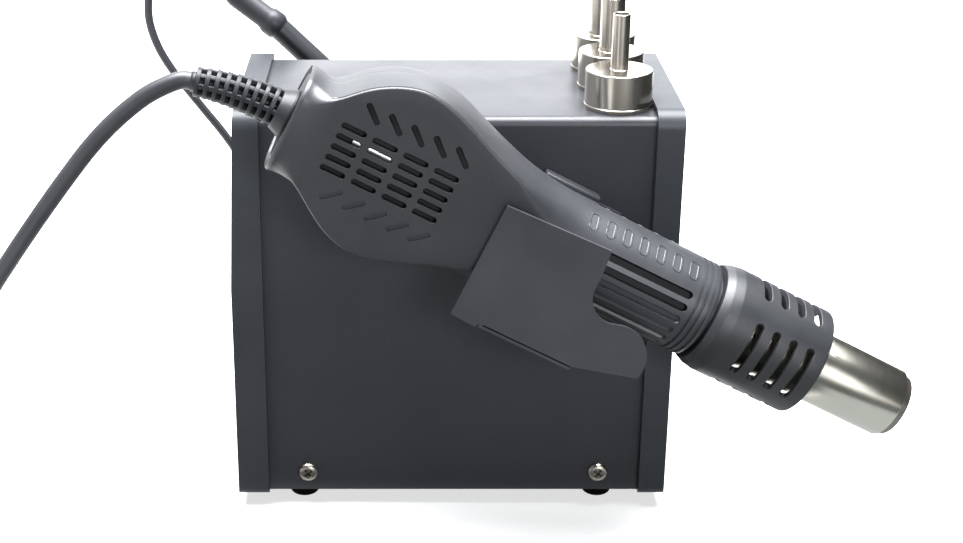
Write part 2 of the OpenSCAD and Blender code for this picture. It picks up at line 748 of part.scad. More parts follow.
dimple_pitch = 5.9;
groove_step = 15.5;

module grip_cuts() {
    for (k = [0 : groove_count - 1])
        rotate([-26.3 + k * groove_step, 0, 0]) translate([78.5, -grip_r + groove_deep, 0])
            rotate([90, 0, 0]) linear_extrude(5) stadium(41, 2.5);
    for (k = [0 : dimple_count - 1])
        rotate([-58.3, 0, 0]) translate([61.7 + k * dimple_pitch, -grip_r + 0.6, 0])
            rotate([90, 90, 0]) linear_extrude(5) stadium(6.4, 2.3);
    for (k = [0 : 2])
        translate([grip_len - 6.2 + k * 2.1, 0, 0]) rotate([0, 90, 0]) difference() {
            cylinder(r = grip_r + 3, h = 0.7);
            translate([0, 0, -1]) cylinder(r = grip_r - 0.6, h = 3);
        }
}

relief_v = -1.2;     // the cord leaves a little below the handle's axis
relief_neck_r = 4.4;

module relief_hole() {
    translate([-rear_len - 5, 0, relief_v]) rotate([0, 90, 0])
        cylinder(r = relief_neck_r + gap, h = 12);
}

post_at = [[-24.6, -11.8], [31, -12]];   // the two screws that hold the shells together
post_wide = 2.7;
screw_r = 1.4;
head_r = 2.5;
head_y = 7;          // depth at which a screw's head sits in the far half

module shell_near() {
    color([0.27, 0.28, 0.29]) on_handle() difference() {
        union() {
            difference() {
                half_shell(near_edge_r);
                vent_slots();
                grip_cuts();
                relief_hole();
            }
            for (p = post_at) translate([p[0], -0.1, p[1]]) rotate([90, 0, 0])
                cylinder(r = post_wide, h = fan_half - shell_wall + 0.1);
        }
        for (p = post_at) translate([p[0], 1, p[1]]) rotate([90, 0, 0])
            cylinder(r = screw_r + 0.05, h = 8, $fn = 24);
    }
}

hook_u0 = 47;
hook_u1 = 66.5;
hook_t = 2.7;
hook_web = 1.2;
hook_y = handle_gap - 0.6;
tooth_u = 52;
tooth_l = 7;
tooth_h = 3;

// The far half carries the hook that hangs on the holder's back plate
module shell_far() {
    color([0.27, 0.28, 0.29]) on_handle() {
        difference() {
            union() {
                difference() {
                    mirror([0, 1, 0]) half_shell(far_edge_r);
                    mirror([0, 1, 0]) { vent_slots(); grip_cuts(); }
                    relief_hole();
                }
                for (p = post_at) translate([p[0], 0.1, p[1]]) rotate([-90, 0, 0])
                    cylinder(r = post_wide + 0.6, h = head_y + 1);
            }
            for (p = post_at) translate([p[0], -1, p[1]]) rotate([-90, 0, 0]) {
                cylinder(r = screw_r + 0.2, h = 20, $fn = 24);
                translate([0, 0, 1 + head_y]) cylinder(r = head_r + 0.2, h = 20, $fn = 24);
            }
        }
        difference() {
            union() {
                box_at(hook_u0, hook_u1, 8, hook_y, hook_v + 0.1, hook_v + hook_web);
                box_at(hook_u0, hook_u1, hook_y - 5, hook_y, hook_v + 0.1, hook_v + hook_t);
                box_at(tooth_u, tooth_u + tooth_l, handle_gap - holder_t - 1.4, hook_y,
                    hook_v - tooth_h, hook_v + 1);
            }
            rotate([0, 90, 0]) cylinder(r = grip_r - 0.8, h = 90);
        }
    }
}

module shell_screws() {
    color([0.2, 0.2, 0.2]) on_handle() for (p = post_at)
        translate([p[0], -6, p[1]]) rotate([-90, 0, 0]) difference() {
            union() {
                cylinder(r = screw_r, h = 6 + head_y + eps, $fn = 32);
                translate([0, 0, 6 + head_y + 0.05]) cylinder(r = head_r, h = 1.8, $fn = 32);
            }
            for (a = [0, 90]) rotate(a)
                translate([-1.3, -0.3, 6 + head_y + 1]) cube([2.6, 0.6, 2]);
        }
}

cage_u0 = grip_len + 1.5;
cage_u1 = cage_u0 + cage_len;
spigot_r = grip_r - shell_wall - 0.25;
spigot_in = tube_d / 2 + gap;

// Slotted cage round the hot end, with a spigot that sits in the grip
module nose_cage() {
    r = cage_r;
    w = cage_wall;
    color([0.2, 0.21, 0.22]) on_handle() difference() {
        turned([
            [spigot_in, grip_len - 7], [spigot_r, grip_len - 7], [spigot_r, cage_u0],
            [r - 1.4, cage_u0], [r - 0.5, cage_u0 + 2.6], [r, cage_u0 + 5], [r, cage_u1 - 0.5],
            [r - 0.5, cage_u1], [r - w, cage_u1], [r - w, cage_u0 + 5], [r - w - 1.6, cage_u0 + 2],
            [spigot_in, cage_u0 + 2]]);
        for (g = [0 : 3], k = [0 : 3]) rotate([g * 90, 0, 0])
            translate([cage_u0 + 13.8 + k * 6.1, 0, 0]) rotate([0, 90, 0]) rotate([0, 0, 60])
                rotate_extrude(angle = 60, $fn = 96) translate([r - 5, -cage_slot_w / 2])
                    square([8, cage_slot_w]);
    }
}

tube_u0 = grip_len - 12;
tube_u1 = cage_u1 + tube_out;

module heater_tube() {
    r = tube_d / 2;
    color([0.78, 0.76, 0.72]) on_handle() turned([
        [tube_bore / 2, tube_u0], [r - 0.15, tube_u0], [r - 0.15, cage_u1 + 0.5], [r, cage_u1 + 0.7],
        [r, tube_u1 - 0.4],
        [tube_d / 2 - 0.3, tube_u1], [tube_bore / 2, tube_u1]]);
}

seat_wall = 0.5;

// Inner tube that stands out of the heater tube; a nozzle cap slips between the two
module nozzle_seat() {
    r = seat_d / 2;
    color([0.74, 0.72, 0.68]) on_handle() turned([
        [r - seat_wall, tube_u0 + 6], [tube_bore / 2 - 0.05, tube_u0 + 6],
        [tube_bore / 2 - 0.05, tube_u0 + 8], [r, tube_u0 + 8.5], [r, tube_u1 + 2.1],
        [r - 0.4, tube_u1 + 2.5], [r - seat_wall - 0.4, tube_u1 + 2.5],
        [r - seat_wall - 0.4, tube_u1 + 1.8], [r - seat_wall, tube_u1 + 1.4]]);
}

core_r = seat_d / 2 - seat_wall - 0.3;
core_u0 = grip_len - 41;
core_u1 = tube_u1 - 7;

// Ceramic star that carries the heating coils
module heater_core() {
    color([0.93, 0.91, 0.85]) on_handle() {
        translate([core_u0, 0, 0]) rotate([0, 90, 0]) difference() {
            union() {
                cylinder(r = 3.4, h = core_u1 - core_u0);
                for (a = [0 : 60 : 300]) rotate(a)
                    translate([0, -0.8, 0]) cube([core_r, 1.6, core_u1 - core_u0]);
            }
            translate([0, 0, -1]) cylinder(r = 1.3, h = core_u1 - core_u0 + 2, $fn = 24);
        }
        turned([[core_r - 0.01, core_u0 + 28], [spigot_r - 1, core_u0 + 28],
            [spigot_r - 1, tube_u0 - 0.2], [core_r - 0.01, tube_u0 - 0.2]]);
    }
}

module heater_coils() {
    color([0.4, 0.32, 0.28]) on_handle() for (a = [30 : 60 : 330]) rotate([a, 0, 0])
        translate([core_u0 + 4, 0, 6.3]) rotate([0, 90, 0])
            cylinder(r = 1.9, h = core_u1 - core_u0 - 6, $fn = 24);
}

motor_r = 11;
shaft_r = 1.5;
wheel_w = 13;
wheel_y0 = -fan_half + shell_wall + 2.5;
motor_y0 = wheel_y0 + wheel_w + 0.6;
motor_y1 = fan_half - shell_wall - 0.1;

module fan_motor() {
    color([0.3, 0.3, 0.32]) on_handle() rotate([-90, 0, 0]) {
        translate([0, 0, motor_y0]) cylinder(r = motor_r, h = motor_y1 - motor_y0);
        translate([0, 0, wheel_y0 + 1.5]) cylinder(r = shaft_r, h = motor_y0 - wheel_y0, $fn = 32);
        translate([0, 0, motor_y1 - 1.4]) difference() {
            cylinder(r = fan_r - far_edge_r - 0.6, h = 1.4);
            for (a = [0 : 60 : 300]) rotate(a) translate([15.3, 0, -1]) cylinder(r = 2.8, h = 4, $fn = 24);
        }
    }
}

// Centrifugal fan wheel with forward curved blades on a back disc
module fan_wheel() {
    color([0.16, 0.16, 0.17]) on_handle() rotate([-90, 0, 0]) translate([0, 0, wheel_y0])
        difference() {
            union() {
                translate([0, 0, wheel_w - 1.2]) cylinder(r = wheel_r, h = 1.2, $fn = 64);
                translate([0, 0, 3]) cylinder(r = 6, h = wheel_w - 3);
                difference() {
                    cylinder(r = wheel_r, h = 1, $fn = 64);
                    translate([0, 0, -1]) cylinder(r = wheel_r - 3.4, h = 3, $fn = 64);
                }
                for (i = [0 : blade_count - 1]) rotate(i * 360 / blade_count)
                    translate([wheel_r - 4.2, 0, 0]) rotate(28)
                        translate([0, -0.3, 0.5]) cube([4, 0.7, wheel_w - 1]);
            }
            translate([0, 0, -1]) cylinder(r = shaft_r + 0.05, h = wheel_w + 2, $fn = 32);
        }
}

relief_len = 26;
relief_bend = 17;
relief_n = 8;
relief_r0 = 6.3;       // at the handle
relief_r1 = 4.5;       // at the cord
relief_core_r = 3.4;
collar_r = 7.8;
relief_arc = relief_len / (relief_bend * PI / 180);
relief_u0 = -rear_len - 3.8;

// Place a piece at t (0 to 1) along the bent axis of the strain relief
module along_relief(t) {
    translate([relief_u0, 0, relief_v - relief_arc]) rotate([0, -relief_bend * t, 0])
        translate([0, 0, relief_arc]) rotate([0, -90, 0]) children();
}

// Ribbed sleeve: a bent core, round ribs on it and bars that join the ribs
module strain_relief() {
    inside = -rear_len + shell_wall + 0.1;
    step = relief_len / relief_n;
    color([0.13, 0.13, 0.14]) on_handle() {
        translate([0, 0, relief_v]) turned([
            [0, relief_u0], [relief_r0 + 0.3, relief_u0], [collar_r, -rear_len - 0.5],
            [collar_r, -rear_len - 0.05],
            [relief_neck_r, -rear_len - 0.05], [relief_neck_r, inside], [6.2, inside],
            [6.2, inside + 1.3], [0, inside + 1.3]]);
        translate([relief_u0, 0, relief_v - relief_arc]) rotate([90, 0, 0]) rotate([0, 0, 89])
            rotate_extrude(angle = relief_bend + 1.2, $fn = 180) translate([relief_arc, 0])
                circle(r = relief_core_r);
        for (i = [0 : relief_n - 1])
            let (t = i / relief_n, r = relief_r0 + (relief_r1 - relief_r0) * (i + 0.5) / relief_n)
            along_relief(t) {
                translate([0, 0, step - 1.7]) cylinder(r = r, h = 1.6);
                for (a = [45 : 90 : 315]) rotate(a)
                    translate([relief_core_r - 0.8, -0.8, -0.4]) cube([r - relief_core_r + 0.6, 1.6, step]);
            }
    }
}

// Holder: back plate on the station, a web below and a shaped outer plate
holder_out = grip_r + holder_clear;
holder_holes = [[46, -4], [46, -22], [64, -22]];
holder_u0 = 33.5;
holder_u1 = 69.5;

function arc(cx, cy, r, a0, a1, n) =
    [for (i = [0 : n]) let (a = a0 + (a1 - a0) * i / n) [cx + r * cos(a), cy + r * sin(a)]];

module outer_plate_outline() {
    polygon(concat(
        [[holder_u0, holder_top - 1.6], [holder_u1 - 1.2, holder_top]],
        [[holder_u1 + 0.3, 0.4]],
        arc(holder_u1 + 9.1, -2.5, 8.7, 182, 275, 8),
        arc(holder_u1 + 16.1, 9.8 - holder_deep, 11, 100, -14, 10),
        [[77, -holder_deep + 1.6], [76, -holder_deep + holder_t], [76, -holder_deep + 0.4],
            [44, -holder_deep + 0.4], [44, -holder_deep + holder_t], [43, -holder_deep - 0.4],
            [holder_u0 + 1.2, -holder_deep]]));
}

module handle_holder() {
    inner = handle_gap - holder_t;
    color([0.27, 0.27, 0.29]) on_handle() {
        translate([0, -holder_out, 0]) rotate([90, 0, 0]) linear_extrude(holder_t)
            outer_plate_outline();
        box_at(44, 76, -holder_out - holder_t, handle_gap, -holder_deep, -holder_deep + holder_t);
        difference() {
            box_at(36, 76, inner, handle_gap, -holder_deep, hook_v);
            box_at(tooth_u - 0.4, tooth_u + tooth_l + 0.4, inner - 1, handle_gap + 1,
                hook_v - tooth_h - 0.3, hook_v + 1);
            for (p = holder_holes) translate([p[0], inner - 1, p[1]]) rotate([-90, 0, 0])
                cylinder(r = hole_r, h = 4, $fn = 24);
        }
    }
}

// The screws of both holders
module holder_screws() {
    color([0.45, 0.43, 0.4]) {
        on_handle() for (p = holder_holes)
            translate([p[0], handle_gap - holder_t, p[1]]) rotate([90, 0, 0]) pan_screw(5.6, 7);
        on_iron() for (p = iron_holes)
            translate([p[0], -iron_gap + holder_t, p[1]]) rotate([-90, 0, 0]) pan_screw(5.6, 7);
    }
}

// Soldering iron on the far side. Its own frame has X along the iron.
iron_y = cover_w / 2 + iron_gap;
iron_x = x_front + 21.7;
iron_z = 134.2;
module on_iron() {
    translate([iron_x, iron_y, iron_z]) rotate([0, iron_tilt, 0]) children();
}

iron_s0 = 14;                     // where the boot meets the handle
iron_s1 = iron_s0 + iron_len;     // front end of the grip
stop_s = iron_s1 - 4;             // front face of the finger guard, on the funnel's seat
barrel_s = iron_s1 + 6;
tip_s = barrel_s + barrel_len;

module iron_handle() {
    r = iron_r;
    color([0.16, 0.16, 0.17]) on_iron() turned([
        [0, iron_s0], [r - 2.6, iron_s0], [r - 0.6, iron_s0 + 3], [r, iron_s0 + 12],
        [r, iron_s0 + 44], [r - 1, iron_s0 + 48], [r - 2, iron_s0 + 48],
        [r - 2, iron_s1 - 0.3], [0, iron_s1 - 0.3]]);
}

module iron_grip() {
    r = iron_r;
    g0 = iron_s0 + 48.3;
    ribs = 6;
    step = (stop_s - 3 - g0) / ribs;
    color([0.1, 0.2, 0.35]) on_iron() turned(concat(
        [[r - 1.9, g0]],
        [for (i = [0 : ribs - 1]) for (p = [[0, 0], [0.15, 0.5], [0.75, 0.5], [0.9, 0]])
            [r - 0.9 + p[1], g0 + step * (i + p[0])]],
        [[r - 0.4, stop_s - 3], [r + 1.6, stop_s - 2.4], [r + 1.6, stop_s], [r - 0.6, stop_s],
            [r - 0.9, iron_s1 - 0.3], [r - 1.9, iron_s1 - 0.3]]));
}

module iron_nut() {
    color([0.7, 0.68, 0.64]) on_iron() turned([
        [barrel_r + 0.1, iron_s1 - 0.2], [6.4, iron_s1 - 0.2], [6.4, iron_s1 + 3],
        [5.2, iron_s1 + 5.8], [barrel_r + 0.1, iron_s1 + 5.8]]);
}

module iron_barrel() {
    color([0.72, 0.7, 0.67]) on_iron() turned([
        [0, iron_s1 - 0.2], [barrel_r, iron_s1 - 0.2], [barrel_r, tip_s], [0, tip_s]]);
}

module iron_tip() {
    color([0.6, 0.5, 0.42]) on_iron() turned([
        [0, tip_s + 0.05], [barrel_r - 0.6, tip_s + 0.05], [barrel_r - 0.6, tip_s + tip_len * 0.35],
        [0.5, tip_s + tip_len - 0.4], [0, tip_s + tip_len]]);
}

boot_r = 4.2;
boot_bend = 6;       // the boot droops by this angle past its joint
boot_back = 16.5;
boot_len = 22;

module iron_boot() {
    r = boot_r;
    color([0.14, 0.14, 0.15]) on_iron() {
        turned([[0, -boot_back], [r, -boot_back], [r, iron_s0 - 0.1], [0, iron_s0 - 0.1]]);
        translate([-boot_back, 0, 0]) rotate([0, -boot_bend, 0]) turned([
            [0, 2], [r, 2], [r + 0.8, 0.5], [r + 0.8, -3], [r, -5], [r, 4 - boot_len],
            [r - 1, -boot_len], [0, -boot_len]]);
    }
}

funnel_seat = 1.5;                    // thickness of the ledge under the finger guard
holder_s = stop_s + 0.1 + funnel_seat;
iron_holes = [[holder_s + 14, 9], [holder_s + 14, -9]];
throat_r = iron_r + 0.7;

module iron_holder() {
    half = 15.5;
    color([0.27, 0.27, 0.29]) on_iron() {
        difference() {
            union() {
                box_at(holder_s, holder_s + holder_t, -iron_gap, 15, -half, half);
                box_at(holder_s, holder_s + 22, -iron_gap, -iron_gap + holder_t, -half, half);
            }
            translate([holder_s - 1, 0, 0]) rotate([0, 90, 0]) cylinder(r = throat_r + 1.9, h = 4);
            for (p = iron_holes) translate([p[0], -iron_gap - 1, p[1]]) rotate([-90, 0, 0])
                cylinder(r = hole_r, h = 4, $fn = 24);
        }
    }
}

module iron_funnel() {
    r = funnel_r;
    s = holder_s;
    color([0.2, 0.2, 0.21]) on_iron() turned([
        [r, s - 17], [r + 0.8, s - 17.4], [r + 0.8, s - 16], [throat_r + 4.4, s - 3],
        [throat_r + 4.4, s - 0.05], [throat_r + 1.7, s - 0.05], [throat_r + 1.7, s + 6],
        [throat_r, s + 6], [throat_r, s - funnel_seat], [throat_r + 2.2, s - funnel_seat],
        [throat_r + 2.2, s - 4]]);
}

// Steel tube round the hot tip
module iron_guard() {
    r0 = throat_r + 1.9;
    r1 = r0 + 0.8;
    s = holder_s + holder_t;
    color([0.75, 0.74, 0.71]) on_iron() turned([
        [r0, s + 0.05], [r1 + 2.6, s + 0.05], [r1 + 2.6, s + 0.8], [r1, s + 0.8],
        [r1, s + guard_len], [r0, s + guard_len]]);
}

// Cords
function unit(v) = v / norm(v);
function way(p, i) = let (n = len(p) - 1)
    i == 0 ? unit(p[1] - p[0]) : i == n ? unit(p[n] - p[n - 1])
    : unit(unit(p[i + 1] - p[i]) + unit(p[i] - p[i - 1]));

// A round cord swept along its points; side must never lie along the cord
module cord(p, d, n, side) {
    m = len(p);
    pts = [for (i = [0 : m - 1]) let (t = way(p, i), a = unit(cross(t, side)), b = cross(t, a))
        for (k = [0 : n - 1]) p[i] + d / 2 * (a * cos(360 * k / n) + b * sin(360 * k / n))];
    polyhedron(convexity = 6, points = pts, faces = concat(
        [for (i = [0 : m - 2], k = [0 : n - 1]) let (a = i * n + k, b = i * n + (k + 1) % n)
            for (f = [[a, a + n, b + n], [a, b + n, b]]) f],
        [[for (k = [0 : n - 1]) k], [for (k = [n - 1 : -1 : 0]) (m - 1) * n + k]]));
}

// The blower handle's cord: from its strain relief down to the table at the left.
// Each point is its distance along X from the fan axis and its height.
handle_route = [for (p = [
    [-60.9, 156.7], [-64.2, 157.1], [-69.2, 155.4], [-76.2, 151.6], [-85.2, 144.3], [-93.2, 136],
    [-101.2, 126], [-110.2, 114], [-120.2, 100], [-130.2, 85], [-139.2, 68], [-147.2, 50],
    [-155.2, 33], [-164.2, 18.5], [-174.2, 8.5], [-184.2, 3.8], [-193.2, 2.9]]) [fan_x + p[0], handle_y, p[1]]];
coil_turn = 36;         // radius at which the cord enters its coil
coil_in = 21.6;
coil_out = 38.8;
coil_h = 2 * handle_cord_d;
coil_at = [fan_x - 193.2, handle_y + coil_turn];
plug_at = [coil_at[0] - 37.5, coil_at[1] + 38];
plug_r = 9;

module handle_cord() { color([0.2, 0.2, 0.21]) cord(handle_route, handle_cord_d, 8, [0, 1, 0]); }

module handle_cord_coil() {
    d = handle_cord_d;
    color([0.2, 0.2, 0.21]) {
        translate([coil_at[0], coil_at[1], 0]) rotate_extrude()
            polygon([[coil_in, 1.5], [coil_in + 1.5, 0], [coil_out - 1.5, 0], [coil_out, 1.5],
                [coil_out, coil_h - 1.5], [coil_out - 1.5, coil_h], [coil_in + 1.5, coil_h],
                [coil_in, coil_h - 1.5]]);
        translate([plug_at[0], plug_at[1] - 28, plug_r]) rotate([-90, 0, 0])
            cylinder(d = d, h = 28, $fn = 24);
    }
}

// The cord's round connector lies on the table, led out of the coil
module handle_plug() {
    color("silver") translate([plug_at[0], plug_at[1], plug_r]) rotate([0, 0, 90]) turned([
        [0, 0], [4.6, 0], [5, 9], [7.6, 10], [7.6, 18], [plug_r, 18.6], [plug_r, 30],
        [plug_r - 1, 31], [6.6, 31], [6.6, 25], [0, 25]]);
}

// Points set out from the station's front, from the cover's far side and from the table
function behind(points) = [for (p = points) [x_front + p[0], cover_w / 2 + p[1], p[2]]];

// The iron's cord: out of its boot, over and down behind the station
iron_route = behind([
    [-7.6, 20, 159.3], [-12, 20, 162.8], [-18, 20, 166.6], [-25, 20, 168], [-31.5, 20, 165],
    [-35.4, 20, 159], [-36.6, 20, 151], [-35.8, 20, 144], [-33, 20, 136], [-28.4, 20, 128],
    [-22.6, 20, 120], [-17, 20, 112.5], [-11, 20, 104.5], [-5, 20, 95], [0, 20.5, 86],
    [4.5, 21.6, 76], [8, 23.1, 66], [11, 25.1, 55], [14, 28.1, 44], [17, 31.1, 33], [21, 34.1, 23]]);
// The rest of that cord: on into its coil, and out of the coil to its gland
lead_in = behind([
    [21, 34.1, 22.8], [26.5, 37.1, 13], [34, 40.1, 6], [42, 42.1, 3], [49, 42.1, 2.6]]);
lead_out = behind([
    [21, 14.1, 27], [21, 18.1, 26.9], [20, 23.1, 24], [19, 28.1, 17], [19, 33.1, 10],
    [20, 39.1, 4.5], [23.5, 45.6, 2], [28.5, 51.1, 1.6], [32, 59.1, 1.6]]);
iron_coil_at = behind([[49, 59.15, 0]])[0];
iron_coil_r = 17;

module iron_cord() { color([0.22, 0.24, 0.24]) cord(iron_route, iron_cord_d, 8, [0.2, 1, 0]); }

module iron_cord_coil() {
    d = iron_cord_d;
    r0 = iron_coil_r - 1.5 * d;
    r1 = iron_coil_r + 1.5 * d;
    color([0.22, 0.24, 0.24]) translate([iron_coil_at[0], iron_coil_at[1], 0]) rotate_extrude()
        polygon([[r0, 0.8], [r0 + 0.8, 0], [r1 - 0.8, 0], [r1, 0.8], [r1, 7.4],
            [r1 - 1, 8.2], [r0 + 1, 8.2], [r0, 7.4]]);
}

module iron_cord_leads() {
    color([0.22, 0.24, 0.24]) {
        cord(lead_in, iron_cord_d, 8, [0.2, 1, 0]);
        cord(lead_out, iron_cord_d, 8, [1, -0.5, 0]);
    }
}

gland_x = x_front + 21;
gland_z = 27;
gland_r = 4;

module iron_gland() {
    color([0.1, 0.1, 0.1]) translate([gland_x, cover_w / 2, gland_z]) rotate([0, 0, 90]) turned([
        [0, -3.5], [gland_r + 1.4, -3.5], [gland_r + 1.4, -sheet_t - 0.1], [gland_r, -sheet_t - 0.1],
        [gland_r, 0.05], [gland_r + 2.2, 0.05], [gland_r + 2, 2.4], [3.4, 3], [2.4, 14], [0, 14]]);
}

base_plate();
top_cover();
rubber_feet();
cover_screws();
board_standoffs();
front_bezel();
front_panel();
display_window();
display_module();
front_board();
key_temp_up();
key_temp_down();
key_air_up();
key_air_down();
key_mode();
handle_socket();
rear_bezel();
rear_panel();
mains_inlet();
inlet_pins();
switch_body();
switch_rocker();
control_board();
board_parts();
heat_sink();
transformer_core();
transformer_coil();
nozzle_posts();
nozzle_small();
nozzle_medium();
nozzle_large();
handle_holder();
holder_screws();
shell_near();
shell_far();
shell_screws();
nose_cage();
heater_tube();
nozzle_seat();
heater_core();
heater_coils();
fan_motor();
fan_wheel();
strain_relief();
handle_cord();
handle_cord_coil();
handle_plug();
iron_holder();
iron_funnel();
iron_guard();
iron_handle();
iron_grip();
iron_nut();
iron_barrel();
iron_tip();
iron_boot();
iron_cord();
iron_cord_leads();
iron_cord_coil();
iron_gland();
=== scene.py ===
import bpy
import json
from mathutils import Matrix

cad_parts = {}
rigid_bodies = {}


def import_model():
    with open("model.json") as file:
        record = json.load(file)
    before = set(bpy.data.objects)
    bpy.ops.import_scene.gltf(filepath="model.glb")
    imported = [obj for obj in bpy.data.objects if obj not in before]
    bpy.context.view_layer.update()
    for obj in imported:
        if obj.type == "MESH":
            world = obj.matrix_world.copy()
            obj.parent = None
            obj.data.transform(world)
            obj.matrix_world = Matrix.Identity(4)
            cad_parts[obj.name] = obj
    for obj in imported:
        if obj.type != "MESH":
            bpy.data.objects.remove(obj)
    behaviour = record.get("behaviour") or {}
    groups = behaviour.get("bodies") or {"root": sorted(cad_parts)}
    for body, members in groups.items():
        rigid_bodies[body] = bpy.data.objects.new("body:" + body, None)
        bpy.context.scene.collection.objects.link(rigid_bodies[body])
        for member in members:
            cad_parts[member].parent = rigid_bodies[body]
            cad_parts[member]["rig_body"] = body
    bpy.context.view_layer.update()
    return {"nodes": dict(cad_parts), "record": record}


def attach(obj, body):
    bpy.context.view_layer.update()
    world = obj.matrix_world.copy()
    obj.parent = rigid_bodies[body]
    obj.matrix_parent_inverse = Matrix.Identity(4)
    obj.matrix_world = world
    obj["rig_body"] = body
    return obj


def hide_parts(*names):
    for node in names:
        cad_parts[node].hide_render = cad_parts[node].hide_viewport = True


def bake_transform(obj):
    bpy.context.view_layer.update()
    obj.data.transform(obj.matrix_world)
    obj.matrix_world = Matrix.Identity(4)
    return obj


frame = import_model()

import json
from math import atan, cos, pi, radians, sin, sqrt, tan

import bmesh
import bpy
from mathutils import Matrix, Vector

scene = bpy.context.scene
nodes = frame["nodes"]
mm = 0.001

print("stage: camera")

cameraView = {
    "place": (-0.0156, -0.56235, 0.2956),
    "pitchDown": 21.75,
    "optics": {"lens": 64.45, "sensor_width": 36, "shift_x": 0.0784, "shift_y": 0.0005, "clip_start": 0.01},
}


def assign(item, **settings):
    for name, value in settings.items():
        setattr(item, name, value)
    return item


def addObject(name, data, **settings):
    item = assign(bpy.data.objects.new(name, data), **settings)
    scene.collection.objects.link(item)
    return item


def addCamera(view):
    data = assign(bpy.data.cameras.new("stationCamera"), **view["optics"])
    turned = (radians(90 - view["pitchDown"]), 0, 0)
    scene.camera = addObject("stationCamera", data, location=view["place"], rotation_euler=turned)


addCamera(cameraView)
scene.view_settings.view_transform = "Standard"


def newPiece(name, vertices, faces, material=None):
    mesh = bpy.data.meshes.new(name)
    mesh.from_pydata([tuple(v) for v in vertices], [], faces)
    mesh.update()
    for polygon in mesh.polygons:
        polygon.use_smooth = True
    if material:
        mesh.materials.append(material)
    return addObject(name, mesh)


def circlePoints(sides):
    angles = [2 * pi * k / sides for k in range(sides)]
    return [(cos(angle), sin(angle)) for angle in angles]


def bandFaces(rings, size, closed=False):
    # the faces between rings of points, from the last ring to the first one too where closed
    faces = []
    for i in range(rings if closed else rings - 1):
        a, b = i * size, (i + 1) % rings * size
        faces += [(a + k, a + (k + 1) % size, b + (k + 1) % size, b + k) for k in range(size)]
    return faces


def cappedFaces(rings, size):
    # the same with a face over each end
    return bandFaces(rings, size) + [tuple(reversed(range(size))), tuple(range((rings - 1) * size, rings * size))]


def smoothPath(points, perSpan):
    # a Catmull-Rom curve through the points
    points = [Vector(p) for p in points]
    ends = [points[0] * 2 - points[1]] + points + [points[-1] * 2 - points[-2]]
    out = []
    for i in range(len(points) - 1):
        a, b, c, d = ends[i:i + 4]
        for k in range(perSpan):
            t = k / perSpan
            out.append(0.5 * (2 * b + (c - a) * t + (2 * a - 5 * b + 4 * c - d) * t * t
                              + (3 * b - a - 3 * c + d) * t ** 3))
    out.append(points[-1])
    return out


def sweptTube(name, path, radius, sides, material):
    # a round tube along a path, its UV running along it in metres
    last = len(path) - 1
    tangents = [(path[min(i + 1, last)] - path[max(i - 1, 0)]).normalized() for i in range(last + 1)]
    side = tangents[0].cross(Vector((0.1, 1, 0.2))).normalized()
    vertices, run, travelled = [], [], 0.0
    for i, point in enumerate(path):
        side = (side - tangents[i] * side.dot(tangents[i])).normalized()
        across = tangents[i].cross(side)
        travelled += (point - path[i - 1]).length if i else 0
        run.append(travelled)
        vertices += [point + (side * c + across * s) * radius for c, s in circlePoints(sides)]
    piece = newPiece(name, vertices, cappedFaces(last + 1, sides), material)
    layer = piece.data.uv_layers.new(name="along")
    for polygon in piece.data.polygons:
        rounds = [piece.data.loops[i].vertex_index for i in polygon.loop_indices]
        wraps = len(rounds) == 4 and {c % sides for c in rounds} == {0, sides - 1}
        for loopIndex, corner in zip(polygon.loop_indices, rounds):
            around = sides if wraps and corner % sides == 0 else corner % sides
            layer.data[loopIndex].uv = (run[corner // sides], around / sides)
    return piece


def addFaces(parts):
    # several pairs of vertices and faces as one
    vertices, faces = [], []
    for partVertices, partFaces in parts:
        start = len(vertices)
        vertices += partVertices
        faces += [tuple(start + i for i in face) for face in partFaces]
    return vertices, faces


def roundCorners(points, steps=4):
    # a closed outline of (a, b, fillet) points with its corners rounded
    out, count = [], len(points)
    for i, (a, b, fillet) in enumerate(points):
        corner = Vector((a, b))
        if fillet <= 0:
            out.append((a, b))
            continue
        back = Vector(points[i - 1][:2]) - corner
        ahead = Vector(points[(i + 1) % count][:2]) - corner
        cut = min(fillet / tan(back.angle(ahead) / 2), back.length * 0.48, ahead.length * 0.48)
        start, end = corner + back.normalized() * cut, corner + ahead.normalized() * cut
        for k in range(steps + 1):
            t = k / steps
            spot = start * (1 - t) ** 2 + corner * 2 * t * (1 - t) + end * t * t
            out.append((spot.x, spot.y))
    return out


def turnedFaces(outline, sides, place):
    # a closed outline of (radius, along) in millimetres turned about the X axis of a place, with no faces on the axis
    vertices = [place @ Vector((along * mm, radius * mm * c, radius * mm * s))
                for radius, along in outline for c, s in circlePoints(sides)]
    faces = bandFaces(len(outline), sides, True)
    return vertices, [face for face in faces if outline[face[0] // sides][0] or outline[face[3] // sides][0]]


joinDistance, flatAngle = 0.000002, 0.6


def tidyMesh(mesh, angle, joinFlat=False):
    # joins doubled points, joins flat faces or turns all outward, and smooths all edges but those past an angle
    work = bmesh.new()
    work.from_mesh(mesh)
    bmesh.ops.remove_doubles(work, verts=work.verts, dist=joinDistance)
    if joinFlat:
        bmesh.ops.dissolve_limit(work, angle_limit=radians(flatAngle), verts=work.verts, edges=work.edges)
    else:
        bmesh.ops.dissolve_degenerate(work, edges=work.edges, dist=joinDistance / 2)
        bmesh.ops.recalc_face_normals(work, faces=work.faces)
    for face in work.faces:
        face.smooth = True
    for edge in work.edges:
        edge.smooth = len(edge.link_faces) == 2 and edge.calc_face_angle(0) <= radians(angle)
    work.to_mesh(mesh)
    work.free()


def makePiece(name, shape, finish, angle=35):
    # a piece from a pair of vertices and faces
    piece = newPiece(name, *shape, materials[finish])
    tidyMesh(piece.data, angle)
    return piece


